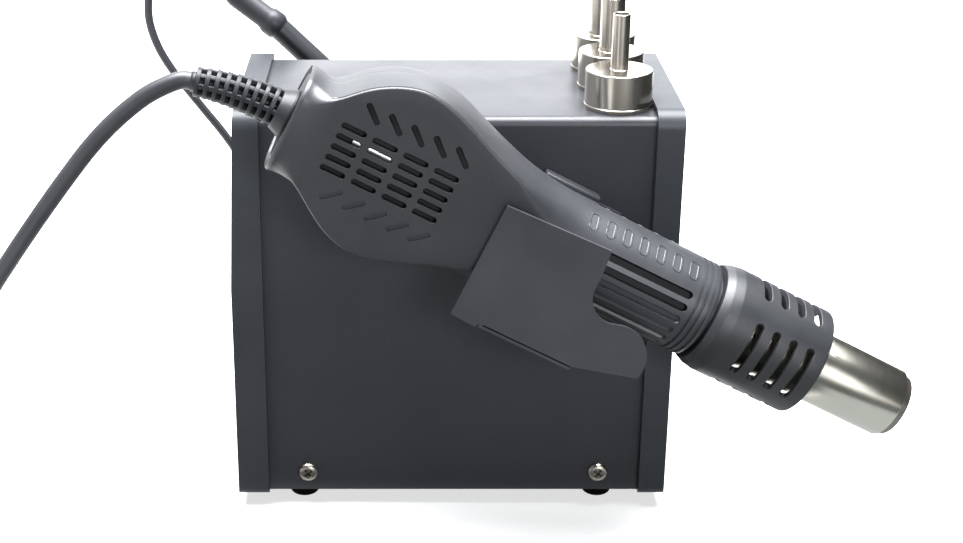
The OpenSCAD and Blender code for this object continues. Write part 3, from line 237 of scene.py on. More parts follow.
def settle(piece, angle=None):
    # keeps what the modifiers give as a plain mesh
    made = bpy.data.meshes.new_from_object(piece.evaluated_get(bpy.context.evaluated_depsgraph_get()))
    piece.modifiers.clear()
    piece.data = made
    if angle is not None:
        tidyMesh(made, angle)
    return piece


def cutAway(piece, cutter, angle=35):
    assign(piece.modifiers.new("cut", "BOOLEAN"), operation="DIFFERENCE", solver="MANIFOLD",
           material_mode="TRANSFER", object=cutter)
    settle(piece, angle)
    bpy.data.objects.remove(cutter)
    return piece


def joinPieces(first, *others):
    # all the meshes in the first piece
    work = bmesh.new()
    work.from_mesh(first.data)
    for piece in others:
        slots, start = len(first.data.materials), len(work.faces)
        for material in piece.data.materials:
            first.data.materials.append(material)
        work.from_mesh(piece.data)
        work.faces.ensure_lookup_table()
        for face in work.faces[start:]:
            face.material_index += slots
        bpy.data.objects.remove(piece)
    work.to_mesh(first.data)
    work.free()
    return first


def wire(tree, *links):
    # each link is a node, its output, another node and its input
    for source, output, target, socket in links:
        tree.links.new(source.outputs[output], target.inputs[socket])


def addNode(tree, kind, **settings):
    return assign(tree.nodes.new(kind), **settings)


def addNodes(tree, family, *kinds):
    return [tree.nodes.new(family + kind) for kind in kinds]


def setInputs(node, values):
    for socket, value in values.items():
        node.inputs[socket].default_value = value
    return node


def newGeometryTree(name, inputs):
    # a tree, the identifiers of its named inputs, and its input and output nodes
    tree = bpy.data.node_groups.new(name, "GeometryNodeTree")
    sockets = {label: tree.interface.new_socket(label, in_out="INPUT", socket_type="NodeSocket" + kind).identifier
               for label, kind in inputs}
    tree.interface.new_socket("Geometry", in_out="OUTPUT", socket_type="NodeSocketGeometry")
    return tree, sockets, *addNodes(tree, "NodeGroup", "Input", "Output")


def buildRepeatTree():
    # an object set on every point with that point's turn and size
    tree, sockets, start, end = newGeometryTree(
        "repeatOnPoints", (("Points", "Geometry"), ("Piece", "Object"), ("Finish", "Material")))
    source, place, solid, paint = addNodes(
        tree, "GeometryNode", "ObjectInfo", "InstanceOnPoints", "RealizeInstances", "SetMaterial")
    for attribute, socket in (("turn", "Rotation"), ("size", "Scale")):
        read = addNode(tree, "GeometryNodeInputNamedAttribute", data_type="FLOAT_VECTOR")
        wire(tree, (setInputs(read, {"Name": attribute}), "Attribute", place, socket))
    wire(tree, (start, "Points", place, "Points"), (start, "Piece", source, "Object"),
         (source, "Geometry", place, "Instance"), (place, "Instances", solid, "Geometry"),
         (solid, "Geometry", paint, "Geometry"), (start, "Finish", paint, "Material"),
         (paint, "Geometry", end, "Geometry"))
    return tree, sockets


repeatTree, repeatInputs = buildRepeatTree()


def repeatPiece(name, source, places, finish, sizes=None):
    # the source object at every place, realized as one plain mesh
    piece = newPiece(name, [place.translation for place in places], [])
    turns = [value for place in places for value in place.to_euler("XYZ")]
    scales = [value for size in (sizes or [(1, 1, 1)] * len(places)) for value in size]
    for attribute, values in (("turn", turns), ("size", scales)):
        piece.data.attributes.new(attribute, "FLOAT_VECTOR", "POINT").data.foreach_set("vector", values)
    modifier = assign(piece.modifiers.new("repeat", "NODES"), node_group=repeatTree)
    modifier[repeatInputs["Piece"]] = source
    modifier[repeatInputs["Finish"]] = materials[finish]
    settle(piece)
    bpy.data.objects.remove(source)
    return piece


print("stage: materials")


def emptyTree(block, kind):
    # the cleared node tree of a material or a world, and the node that shows it
    block.use_nodes = True
    block.node_tree.nodes.clear()
    return block.node_tree, block.node_tree.nodes.new("ShaderNodeOutput" + kind)


def newMaterial(name):
    material = bpy.data.materials.new(name)
    return material, *emptyTree(material, "Material")


def makeFinish(name, base, rough, grain, look):
    # a surface with mottled colour, uneven gloss, fine grain and small scuffs
    material, tree, output = newMaterial(name)
    shader, place, bump = addNodes(tree, "ShaderNode", "BsdfPrincipled", "TexCoord", "Bump")
    setInputs(shader, {"Metallic": look.get("metal", 0), "Specular IOR Level": look.get("specular", 0.5),
                       "Coat Weight": look.get("coat", 0), "Coat Roughness": 0.1})
    setInputs(bump, {"Strength": look.get("bump", 0.25), "Distance": 0.00006})
    mapping = addNode(tree, "ShaderNodeMapping", vector_type="TEXTURE")
    setInputs(mapping, {"Scale": look.get("stretch", (1, 1, 1)), "Rotation": look.get("turn", (0, 0, 0))})
    wire(tree, (place, "Object", mapping, "Vector"))

    def noise(scale, detail, rough=0.55):
        node = tree.nodes.new("ShaderNodeTexNoise")
        wire(tree, (mapping, 0, setInputs(node, {"Scale": scale, "Detail": detail, "Roughness": rough}), "Vector"))
        return node

    def ramp(source, low, high, dark, light):
        node = tree.nodes.new("ShaderNodeValToRGB")
        for element, position, colour in zip(list(node.color_ramp.elements), (low, high), (dark, light)):
            assign(element, position=position, color=(*colour, 1))
        wire(tree, (source, "Fac", node, "Fac"))
        return node

    spread = look.get("mottle", 0.12)
    colour = (ramp(noise(look.get("mottleScale", 30), 4), 0.3, 0.7,
                   [c * (1 - spread) for c in base], [min(1, c * (1 + spread)) for c in base]), "Color")
    for scale, start, full, amount, tint in look.get("marks", ()):
        mask = ramp(noise(scale, 3), start, full, (0, 0, 0), (amount,) * 3)
        blend = setInputs(addNode(tree, "ShaderNodeMix", data_type="RGBA"), {7: (*tint, 1)})
        wire(tree, (mask, "Color", blend, 0), (*colour, blend, 6))
        colour = (blend, 2)
    gloss = ramp(noise(look.get("glossScale", 60), 5), 0.3, 0.72, *((value,) * 3 for value in rough))
    wire(tree, (*colour, shader, "Base Color"), (gloss, "Color", shader, "Roughness"),
         (noise(grain, 3, 0.6), "Fac", bump, "Height"), (bump, 0, shader, "Normal"), (shader, 0, output, 0))
    return material


# marks are the size, start and full height of their noise, their strength and their colour
paleDust = (900, 0.7, 0.78, 0.1, (0.25, 0.26, 0.28))
wornSheen = (35, 0.5, 0.8, 0.25, (0.05, 0.052, 0.058))
handleGrain = {"turn": (0, radians(27.2), 0), "stretch": (0.25, 1, 1)}
finishes = {
    # slot in the table, colour, least and most roughness, fineness of the grain, and what isn't usual
    "coverPaint": ("cover_paint", (0.0185, 0.0193, 0.0225), (0.32, 0.4), 1800,
        {"mottle": 0.06, "mottleScale": 14, "specular": 0.24, "bump": 0.3, "marks": [paleDust]}),
    "bezelPlastic": ("bezel_plastic", (0.019, 0.0207, 0.0245), (0.36, 0.44), 3200,
        {"mottle": 0.07, "specular": 0.19, "marks": [paleDust]}),
    "panelPlastic": ("panel_plastic", (0.012, 0.012, 0.014), (0.4, 0.55), 3000,
        {"mottle": 0.1, "marks": [wornSheen]}),
    "displayGlass": ("window", (0.004, 0.005, 0.008), (0.06, 0.1), 2500, {"mottle": 0.05, "coat": 0.6, "bump": 0.02}),
    "keyPlastic": ("key_plastic", (0.34, 0.35, 0.37), (0.4, 0.5), 3000, {"mottle": 0.04}),
    "blackPlastic": ("black_plastic", (0.01, 0.01, 0.011), (0.35, 0.5), 2800, {"mottle": 0.15, "specular": 0.3}),
    "footRubber": ("rubber", (0.001, 0.001, 0.0012), (0.6, 0.78), 1800,
        {"mottle": 0.15, "specular": 0.03, "bump": 0.4}),
    "zincPlate": ("zinc", (0.42, 0.41, 0.39), (0.28, 0.42), 1500, {"metal": 1}),
    "darkScrew": ("dark_screw", (0.34, 0.31, 0.27), (0.24, 0.4), 2200, {"mottle": 0.2, "metal": 1}),
    "basePaint": ("base_steel", (0.03, 0.031, 0.034), (0.4, 0.55), 2400, {}),
    "boardLacquer": ("board", (0.01, 0.07, 0.03), (0.25, 0.4), 1500, {"mottle": 0.15}),
    "boardParts": ("parts", (0.015, 0.015, 0.025), (0.3, 0.5), 1500, {"mottle": 0.2}),
    "sinkAluminium": ("heat_sink", (0.6, 0.61, 0.62), (0.3, 0.45), 1200, {"metal": 1}),
    "coreSteel": ("laminations", (0.12, 0.12, 0.13), (0.4, 0.6), 900, {"mottle": 0.2, "metal": 0.8}),
    "copperWire": ("copper", (0.45, 0.16, 0.05), (0.25, 0.4), 1500, {"mottle": 0.15, "metal": 1}),
    "turnedBrass": ("brass", (0.6, 0.42, 0.16), (0.22, 0.35), 1500, {"metal": 1}),
    "nozzleNickel": ("nickel", (0.5, 0.463, 0.41), (0.22, 0.24), 1800,
        {"mottle": 0.05, "mottleScale": 60, "metal": 1, "glossScale": 200, "bump": 0.01,
         "marks": [(260, 0.6, 0.75, 0.12, (0.34, 0.29, 0.24))]}),
    "holderPaint": ("holder_steel", (0.0215, 0.0217, 0.0256), (0.38, 0.48), 2200,
        {"specular": 0.35, "bump": 0.35, "marks": [paleDust]}),
    "shellPlastic": ("shell_plastic", (0.0155, 0.0166, 0.0192), (0.36, 0.48), 2600,
        {"mottleScale": 25, "specular": 0.42, "bump": 0.4, "marks": [paleDust]}),
    # painted shade: a darker copy of the shell plastic that stands in for shade on the cut walls and floors of dark
    # slots, grooves and the hanger's slit
    "grooveShade": ("", (0.007, 0.0075, 0.009), (0.42, 0.55), 2600, {"specular": 0.15}),
    "cagePlastic": ("cage_plastic", (0.0095, 0.0103, 0.012), (0.4, 0.52), 2600,
        {"specular": 0.4, "bump": 0.4, "marks": [paleDust]}),
    "tubeSteel": ("heat_steel", (0.56, 0.535, 0.475), (0.2, 0.23), 1400,
        {"mottle": 0.04, "metal": 1, "glossScale": 220, "bump": 0.02, **handleGrain,
         "marks": [(60, 0.5, 0.8, 0.2, (0.52, 0.47, 0.4))]}),
    "seatSteel": ("", (0.24, 0.22, 0.2), (0.24, 0.38), 1400,
        {"mottle": 0.15, "metal": 1, **handleGrain, "marks": [(40, 0.45, 0.75, 0.7, (0.16, 0.12, 0.1))]}),
    "ceramic": ("ceramic", (0.75, 0.72, 0.64), (0.55, 0.7), 1200, {"mottle": 0.08}),
    "coilWire": ("", (0.22, 0.18, 0.16), (0.35, 0.5), 1200, {"mottle": 0.2, "metal": 1}),
    "wheelPlastic": ("wheel_plastic", (0.02, 0.02, 0.022), (0.4, 0.5), 2000, {}),
    "reliefRubber": ("relief_rubber", (0.012, 0.0125, 0.015), (0.38, 0.52), 2200,
        {"specular": 0.22, "marks": [paleDust]}),
    "cordRubber": ("cord_rubber", (0.019, 0.0197, 0.0226), (0.38, 0.52), 1600,
        {"mottleScale": 60, "specular": 0.35, "marks": [paleDust]}),
    "gripRubber": ("iron_rubber", (0.006, 0.025, 0.075), (0.5, 0.65), 2000, {"specular": 0.2}),
    "tipPlate": ("tip_copper", (0.4, 0.33, 0.28), (0.25, 0.4), 1500, {"mottle": 0.2, "metal": 1}),
}
materials = {name: makeFinish(name, *row[1:]) for name, row in finishes.items()}
finishOfSlot = {row[0]: name for name, row in finishes.items()}
slotOfNode = {part["node"]: part["material_slot"] for part in frame["record"]["subparts"]}

print("stage: cords")


def softStep(t):
    t = min(1.0, max(0.0, t))
    return t * t * (3 - 2 * t)


def coilPoints(look, startAngle, way, perTurn):
    # radii and heights are lists of (turn, millimetres), joined smoothly or straight
    centre, turns = look["coilCentre"], look["turns"]

    def at(name, s):
        knots = look[name]
        for (s0, v0), (s1, v1) in zip(knots, knots[1:]):
            if s <= s1:
                t = (s - s0) / (s1 - s0)
                return v0 + (v1 - v0) * (t if name in look["straight"] else softStep(t))
        return knots[-1][1]

    count = round(turns * perTurn)
    out = []
    for i in range(count + 1):
        s = turns * i / count
        angle = radians(startAngle) + way * 2 * pi * s
        radius = at("radii", s)
        out.append((centre[0] + radius * cos(angle), centre[1] + radius * sin(angle), at("heights", s)))
    return out


handleCordLook = {
    "diameter": 0.0056,
    "sides": 20,
    "route": [(x, -59.35, z) for x, z in (
        (-77.3, 156.2), (-79.7, 156.7), (-83, 157.1), (-88, 155.4), (-95, 151.6), (-104, 144.3), (-112, 136),
        (-120, 126), (-129, 114), (-139, 100), (-149, 85), (-158, 68), (-166, 50), (-174, 33), (-183, 18.5),
        (-193, 8.5), (-203, 3.8))],
    "coilCentre": (-212, -23.35),
    "turns": 4.25,
    "radii": [(0, 36), (1.95, 24.69), (2.15, 25.27), (4.25, 37.45)],
    "heights": [(0, 2.8), (1.75, 2.8), (2.0, 8.4), (4.1, 8.4), (4.25, 8.6)],
    "straight": ("radii",),
    "tail": [(-249.5, y, z) for y, z in ((-19, 8.7), (-12, 8.9), (-4, 9), (5, 9), (14.65, 9))],
}
ironCordLook = {
    "diameter": 0.003,
    "sides": 14,
    "route": [(x, 57.3, z) for x, z in (
        (-80.6, 159.3), (-85, 162.8), (-91, 166.6), (-98, 168), (-104.5, 165), (-108.4, 159), (-109.6, 151),
        (-108.8, 144), (-106, 136), (-101.4, 128), (-95.6, 120), (-90, 112.5), (-84, 104.5))] + [
        (-78, 57.4, 95), (-73, 57.9, 86), (-68.5, 59, 76), (-65, 60.5, 66), (-62, 62.5, 55), (-59, 65.5, 44),
        (-56, 68.5, 33), (-52, 71.5, 23), (-46.5, 74, 13), (-39, 76, 6), (-31, 76.5, 2.6)],
    "coilCentre": (-24, 96.5),
    "turns": 7.75,
    "radii": [(0, 20), (0.8, 20), (1, 17), (1.8, 17), (2, 14), (2.8, 14), (3, 15.5), (3.8, 15.5), (4, 18.5),
              (4.7, 18.5), (5, 14), (5.8, 14), (6, 17), (6.8, 17), (7, 20), (7.75, 20)],
    "heights": [(0, 1.6), (2.8, 1.6), (3, 4.2), (4.7, 4.2), (5, 6.8), (7.75, 6.8)],
    "straight": (),
    "tail": [
        (-44.6, 91.5, 5), (-46.5, 87, 3), (-49.8, 82.5, 2), (-53, 76.5, 4.5), (-54, 70.5, 10),
        (-54, 65.5, 17), (-53, 60.5, 24), (-52, 55.5, 26.9), (-52, 51.5, 27)],
}


pointsPerTurn, stepsPerPoint = 16, 4


def layCord(name, look, startAngle, way, material):
    coil = coilPoints(look, startAngle, way, pointsPerTurn)
    path = smoothPath([Vector(p) * mm for p in look["route"] + coil + look["tail"]], stepsPerPoint)
    return sweptTube(name, path, look["diameter"] / 2, look["sides"], material), path


def pathLength(path):
    return sum((b - a).length for a, b in zip(path, path[1:]))


handleCord, handlePath = layCord("handleCord", handleCordLook, -90, -1, materials["cordRubber"])
ironCord, ironPath = layCord("ironCord", ironCordLook, -90, 1, materials["cordRubber"])
print("cord lengths:", round(pathLength(handlePath), 4), round(pathLength(ironPath), 4))
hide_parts("handle_cord", "handle_cord_coil")
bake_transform(handleCord)
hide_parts("iron_cord", "iron_cord_coil", "iron_cord_leads")
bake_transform(ironCord)

print("stage: blower handle")

handleLook = {
    "place": (-0.0188, -0.05935, 0.1313),
    "tilt": 27.2,
    "fanRadius": 27.6, "fanHalf": 15.5, "neckRadius": 15.6, "neckFlare": 1.5, "gripRadius": 15.7,
    "rear": 35.7, "front": 107, "wall": 2, "seam": 0.02,
    # from and to along the handle: the neck's flare and drop, the fan's and the grip's width, their round parts
    "flare": (-35.7, -28), "drop": (-31, -17), "widen": (-33, -24), "narrow": (24, 46),
    "rearRound": (-34, -25), "rearRoundness": 0.6, "gripRound": (31, 60),
    "groove": 0.35, "grooveFade": 0.08, "grooveForm": ((0.75, 0), (0.6, 1), (0.34, 1), (0.2, 0)),
    "middleHeights": [(-6, 27.75), (0, 28.27), (6, 27.6), (12, 26), (18, 23.9), (24, 21.8), (30, 19.9),
                      (36, 18.3), (42, 17.2), (48, 16.5), (56, 16), (66, 15.75), (107, 15.7)],
    "faceDrops": [(-36, 1), (-20, 1.2), (-5, 0.5), (0, 0.8), (6, 1.3), (12, 1.7), (24, 2.4), (36, 3), (48, 4)],
    # from section to section: the first steps, and then how long a step is up to where
    "rearStep": 0.45, "steps": [(-14, 0.6), (56, 1.1), (107, 1.9)],
    "endPulls": ((0, 0.5), (1, 0.12), (-1, 0.3)),  # how far these sections are drawn in
}


def shift(x, y, z):
    # a move given in millimetres
    return Matrix.Translation((x * mm, y * mm, z * mm))


def turn(degrees, axis):
    return Matrix.Rotation(radians(degrees), 4, axis)


handleFrame = Matrix.Translation(handleLook["place"]) @ turn(handleLook["tilt"], "Y")
ironFrame = Matrix.Translation((-0.0513, 0.05735, 0.1342)) @ turn(44, "Y")


def ease(a, b, t):
    return softStep((t - a) / (b - a))


def atKnots(knots, u):
    # a smooth curve through (u, value) knots
    if u <= knots[0][0]:
        return knots[0][1]
    for i, ((u0, v0), (u1, v1)) in enumerate(zip(knots, knots[1:])):
        if u <= u1:
            (before, vBefore), (after, vAfter) = knots[max(i - 1, 0)], knots[min(i + 2, len(knots) - 1)]
            t, span = (u - u0) / (u1 - u0), u1 - u0
            leave, arrive = (v1 - vBefore) / (u1 - before) * span, (vAfter - v0) / (after - u0) * span
            return (v0 * (1 + 2 * t) * (1 - t) ** 2 + leave * t * (1 - t) ** 2
                    + v1 * t * t * (3 - 2 * t) + arrive * t * t * (t - 1))
    return knots[-1][1]


def gripHalfHeight(u, look):
    if u > 0:
        return atKnots(look["middleHeights"], u)
    fan = sqrt(max(0, look["fanRadius"] ** 2 - u * u))
    neck = look["neckRadius"] + look["neckFlare"] * (1 - ease(*look["flare"], u))
    return (fan ** 4 + neck ** 4) ** 0.25


def gripHalfWidth(u, look):
    if u < 0:
        return look["neckRadius"] + (look["fanHalf"] - look["neckRadius"]) * ease(*look["widen"], u)
    return look["fanHalf"] + (look["gripRadius"] - look["fanHalf"]) * ease(*look["narrow"], u)


def shellSection(u, corner, inset, look):
    # half of a cross-section from its top to its bottom: domed walls, a corner and a flat side on the fan,
    # round on the grip
    high, wide, drop = gripHalfHeight(u, look), gripHalfWidth(u, look), atKnots(look["faceDrops"], u)
    soft = max(look["rearRoundness"] * (1 - ease(*look["rearRound"], u)), ease(*look["gripRound"], u))
    slope = atan(2 * drop / wide)
    join = wide - corner * (1 - sin(slope))
    centre = high - drop * (join / wide) ** 2 - corner * cos(slope)
    groove = look["groove"] * max(0, 1 - soft / look["grooveFade"]) if corner < 3 else 0  # beside a crisp corner
    boxy = [(join * k / 8, high - drop * (k / 8 * join / wide) ** 2) for k in range(8)]
    for across, deep in look["grooveForm"]:
        boxy.append((join - across, high - drop * ((join - across) / wide) ** 2 - deep * groove))
    for k in range(7):
        angle = (pi / 2 - slope) * (1 - k / 6)
        boxy.append((wide - corner + corner * cos(angle), centre + corner * sin(angle)))
    boxy += [(wide, centre * (1 - k / 6)) for k in range(1, 7)]
    last = len(boxy) - 1
    upper = []
    for k, (y, v) in enumerate(boxy):
        angle = pi / 2 * k / last
        upper.append((y + (wide * sin(angle) - y) * soft, v + (high * cos(angle) - v) * soft))
    shrinkY, shrinkV = (wide - inset) / wide, (high - inset) / high
    seam = 0 if inset else look["seam"]
    upper = [(0, high - seam), (seam + 0.05, high)] + upper[1:]
    low = -look["neckFlare"] * (1 - ease(*look["drop"], u))
    half = [(y * shrinkY, v * shrinkV) for y, v in upper]
    return [(u, -y, v + low) for y, v in half] + [(u, -y, low - v) for y, v in reversed(half[:-1])]


def halfShell(corner, far, look):
    # outer and inner skins of one half of the handle, joined at their rims
    stations = [-look["rear"] + 0.0001 + k * look["rearStep"] for k in range(5)]
    while stations[-1] < look["front"] - 0.5:
        stations.append(stations[-1] + next(step for end, step in look["steps"] if stations[-1] < end))
    stations[-1] = look["front"]
    skins = []
    for inset in (0, look["wall"]):
        skins.append([shellSection(max(u, stations[0] + inset), corner, inset, look) for u in stations])
    for ring, pull in look["endPulls"]:
        near = 1 - pull / 16
        skins[0][ring] = [(u, y * near, v * near) for u, y, v in skins[0][ring]]
    flip = -mm if far else mm
    vertices = [handleFrame @ Vector((u * mm, y * flip, v * mm))
                for skin in skins for ring in skin for u, y, v in ring]
    count, size = len(stations), len(skins[0][0])
    faces, inner = [], count * size
    for i in range(count - 1):
        for a in range(i * size, i * size + size - 1):
            b = inner + a
            faces += [(a, a + size, a + size + 1, a + 1), (b, b + 1, b + size + 1, b + size)]
        for a in (i * size, i * size + size - 1):
            faces.append((a, inner + a, inner + a + size, a + size))
    end = (count - 1) * size
    for j in range(size - 1):
        faces.append((j, j + 1, inner + j + 1, inner + j))
        faces.append((end + j, inner + end + j, inner + end + j + 1, end + j + 1))
    return vertices, faces


def stadiumOutline(long, wide, steps=9):
    out = []
    for side in (1, -1):
        for k in range(steps + 1):
            angle = radians(-90 + 180 * k / steps)
            out.append((side * ((long - wide) / 2 + wide / 2 * cos(angle)), side * wide / 2 * sin(angle)))
    return out


def slotCutter(name, look):
    # a rounded slot about Z, its outline widened at each (height, outset)
    rings = [[(x, y, z) for x, y in stadiumOutline(look["long"] + 2 * out, look["wide"] + 2 * out)]
             for z, out in look["levels"]]
    vertices = [tuple(c * mm for c in point) for ring in rings for point in ring]
    return makePiece(name, (vertices, cappedFaces(len(rings), len(rings[0]))), "grooveShade")


slantVent = {"wide": 1.75, "long": 7.2, "levels": [(-1.15, -0.1), (-0.7, 0), (1.4, 0.12)]}
ventSlots = {
    # spots are (along, up, slant) on the flat side of the fan, out is how far from it they are, and dark ones get
    # painted shade on their cut walls and floors
    "gridVents": {
        "wide": 1.75, "long": 8, "levels": [(-3.2, 0), (-0.15, 0), (0.5, 0.65)], "dark": True,
        "spots": [(-2.1 + i * 10.25, 0.4 + j * 3.6, 0) for i in (-1.5, -0.5, 0.5, 1.5) for j in range(-2, 3)]},
    "upperVents": {**slantVent, "tilt": 9, "dark": True,
                   "spots": [(0.1 + i * 7.4, 14.6, -41) for i in range(-2, 3)]},
    "lowerVents": {**slantVent, "out": 0.72,
                   "spots": [(0.2 + i * 7.4, -13.6, 41) for i in range(-2, 3)]},
}
groove = {"step": 15.5, "start": 78.5, "pitch": 0, "cross": 0, "long": 41, "wide": 2.5}
gripSlots = {
    # count slots, each step degrees further round the grip and pitch further along it, and dark ones get painted
    # shade on their cut walls and floors
    "deepGrooves": {**groove, "count": 2, "angle": -26.3, "dark": True,
                    "levels": [(-1.8, -0.3), (-1.6, 0), (-0.15, 0), (0.6, 0.75)]},
    "shallowGrooves": {**groove, "count": 4, "angle": -26.3 + 2 * groove["step"],
                       "levels": [(-0.75, -0.5), (-0.15, 0), (0.6, 0.4)]},
    "gripDimples": {"count": 7, "angle": -58.3, "step": 0, "start": 61.7, "pitch": 5.9, "cross": 90,
                    "long": 6.2, "wide": 2.3, "levels": [(-0.4, -0.15), (-0.3, 0), (-0.1, 0), (0.5, 0.4)],
                    "rimRadius": 0.15, "rimOut": 0.9},
}
gripRings = {"count": 3, "start": 100.8, "pitch": 2.1, "wide": 0.7, "deep": 0.6}


def ventPlaces(look, flip):
    # places on one side wall, near for flip -1 and far for flip 1
    side = flip * (handleLook["fanHalf"] + look.get("out", 0))
    return [handleFrame @ shift(u, side, v) @ turn(-slant, "Y") @ turn(-90 * flip, "X")
            @ turn(look.get("tilt", 0) * flip, "Y") for u, v, slant in look["spots"]]


def roundPlaces(look, flip):
    out = []
    for k in range(look["count"]):
        place = (handleFrame @ turn(-flip * (look["angle"] + k * look["step"]), "X")
                 @ shift(look["start"] + k * look["pitch"], flip * handleLook["gripRadius"], 0))
        out.append(place @ turn(look["cross"], "Y") @ turn(-90 * flip, "X"))
    return out


def turnedPiece(name, outline, finish, place, sides=96, angle=32):
    return makePiece(name, turnedFaces(roundCorners(outline), sides, place), finish, angle)


def ringCutter(name, look):
    parts = []
    for k in range(look["count"]):
        u, r = look["start"] + k * look["pitch"], handleLook["gripRadius"]
        low, end = r - look["deep"], u + look["wide"]
        outline = [(low, u + 0.1), (low, end - 0.1), (r + 0.3, end + 0.3), (r + 0.3, u - 0.3)]
        parts.append(turnedFaces(outline, 96, handleFrame))
    return makePiece(name, addFaces(parts), "shellPlastic")


def dimpleRim(look):
    # a thin lip round a dimple, bent to the grip
    grip, radius = handleLook["gripRadius"], look["rimRadius"]
    outline = stadiumOutline(look["long"] + look["rimOut"], look["wide"] + look["rimOut"], 8)
    path = [Vector((x, y, grip * (cos(x / grip) - 1))) * mm for x, y in outline]
    count, sides, vertices = len(path), 6, []
    for i, point in enumerate(path):
        along = (path[(i + 1) % count] - path[i - 1]).normalized()
        out = along.cross(Vector((0, 0, 1))).normalized()
        vertices += [point + (out * c + out.cross(along) * s) * radius * mm for c, s in circlePoints(sides)]
    return makePiece("dimpleRim", (vertices, bandFaces(count, sides, True)), "shellPlastic", 60)


def roundedBox(low, high, place, edge, finish, name):
    # a box in millimetres with eased edges
    work = bmesh.new()
    bmesh.ops.create_cube(work, size=1)
    for vertex in work.verts:
        vertex.co = Vector([(a + b) / 2 + c * (b - a) for a, b, c in zip(low, high, vertex.co)]) * mm
    bmesh.ops.bevel(work, geom=work.edges[:], offset=edge * mm, segments=3, profile=0.5, affect="EDGES")
    work.transform(place)
    piece = newPiece(name, [], [], materials[finish])
    work.to_mesh(piece.data)
    work.free()
    tidyMesh(piece.data, 50)
    return piece


insideLook = {
    # outlines of the screen behind the vents, the motor's rod and the wall at the neck
    "screen": [(0, 0, 0), (23.5, 0, 0.2), (23.5, 0.6, 0.2), (0, 0.6, 0)], "screenIn": 3.3,
    "rod": [(0, -16.3, 0), (1.5, -16.3, 0.2), (1.5, -3.2, 0.2), (0, -3.2, 0)], "rodIn": 2.6, "rodUp": 3.8,
    "neckWall": [(4, -35.3, 0), (13.8, -35.3, 0.2), (13.8, -34, 0), (4, -34, 0)], "neckDrop": -1.2,
}


def buildShell(name, edge, far):
    flip, side = 1 if far else -1, handleLook["fanHalf"]
    shell = makePiece(name, halfShell(edge, far, handleLook), "shellPlastic", 32)
    for slots, placesOf in ((ventSlots, ventPlaces), (gripSlots, roundPlaces)):
        for cutName, look in slots.items():
            # dark slots get painted shade on their cut walls and floors, the others the shell's own plastic
            finish = "grooveShade" if look.get("dark") else "shellPlastic"
            cutAway(shell, repeatPiece(cutName, slotCutter("slot", look), placesOf(look, flip), finish), 32)
    cutAway(shell, ringCutter("gripRings", gripRings), 32)
    place = handleFrame @ shift(0, flip * (side - insideLook["screenIn"]), 0) @ turn(90 * flip, "Z")
    screen = turnedPiece("ventScreen", insideLook["screen"], "cagePlastic", place, 64)
    dimples = gripSlots["gripDimples"]
    inside = [repeatPiece("dimpleRims", dimpleRim(dimples), roundPlaces(dimples, flip), "shellPlastic"), screen]
    if not far:
        place = handleFrame @ shift(0, -side + insideLook["rodIn"], insideLook["rodUp"])
        inside.append(turnedPiece("motorRod", insideLook["rod"], "sinkAluminium", place, 32))
    return joinPieces(shell, *inside)


def takeOver(piece, *names):
    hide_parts(*names)
    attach(piece, nodes[names[0]]["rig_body"])
    return piece


takeOver(buildShell("nearShell", 0.8, False), "shell_near")
farShell = buildShell("farShell", 11, True)
hook = [
    roundedBox((47, 9.2, 11.4), (66.5, 21.4, 12.5), handleFrame, 0.25, "shellPlastic", "hookWeb"),
    roundedBox((47, 16.4, 11.4), (66.5, 21.4, 14), handleFrame, 0.5, "shellPlastic", "hookBar"),
    roundedBox((52, 18.95, 8.3), (59, 21.4, 12.3), handleFrame, 0.3, "shellPlastic", "hookTooth"),
]
neckWall = turnedPiece("neckWall", insideLook["neckWall"], "shellPlastic",
                       handleFrame @ shift(0, 0, insideLook["neckDrop"]))
takeOver(joinPieces(farShell, neckWall, *hook), "shell_far")

print("stage: hot end")

hotEnd = {
    "cage": {
        "outline": [(11.6, 100, 0), (13.4, 100, 0), (13.4, 108.5, 0), (16.1, 108.5, 0.5), (17.2, 110.9, 2.2),
                    (17.8, 114.2, 4), (17.8, 146.5, 0.5), (16, 146.5, 0.3), (16, 113.5, 0), (14.4, 110.5, 0),
                    (11.6, 110.5, 0)],
        "slots": 4, "firstSlot": 122.3, "slotPitch": 6.1, "halfAngle": 31, "radius": 17.8, "wide": 2.7,
        "levels": [(13, 0), (17.6, 0), (18.4, 0.8)],
    },
    "tube": [(11.1, 95, 0), (11.35, 95, 0), (11.35, 147, 0), (11.5, 147.3, 0), (11.5, 178.5, 0.25),
             (11.1, 178.5, 0.08)],
    "seat": [(9.75, 101, 0), (11.05, 101, 0), (11.05, 103, 0), (10.25, 103.5, 0), (10.25, 181, 0.3), (9.3, 181, 0.15),
             (9.3, 180.2, 0.1), (9.75, 179.8, 0.2)],
    "coils": 6, "coilStart": 70, "coilLong": 99.5, "coilRadius": 1.65, "coilTurns": 46, "wire": 0.3, "coilOut": 6.3,
}


def arcCutter(name, look, columns=26):
    # a slot with round ends that runs round the axis, widened at each (radius, outset)
    loops = []
    for radius, outset in look["levels"]:
        half = look["wide"] / 2 + outset
        reach = radians(look["halfAngle"]) * look["radius"] + outset
        top = []
        for k in range(columns + 1):
            s = -reach * cos(pi * k / columns)
            left = min(half, reach - abs(s))
            top.append((s / look["radius"], sqrt(max(0, half ** 2 - (half - left) ** 2))))
        ring = top + [(a, -h) for a, h in reversed(top[1:-1])]
        loops.append([Vector((h, -radius * cos(a), radius * sin(a))) * mm for a, h in ring])
    size = len(loops[0])
    faces = bandFaces(len(loops), size)
    for start in (0, (len(loops) - 1) * size):
        for k in range(columns):
            corners = [k, k + 1, (size - k - 1) % size, (size - k) % size]
            faces.append(tuple(dict.fromkeys(start + c for c in corners)))
    return makePiece(name, ([point for loop in loops for point in loop], faces), "cagePlastic")


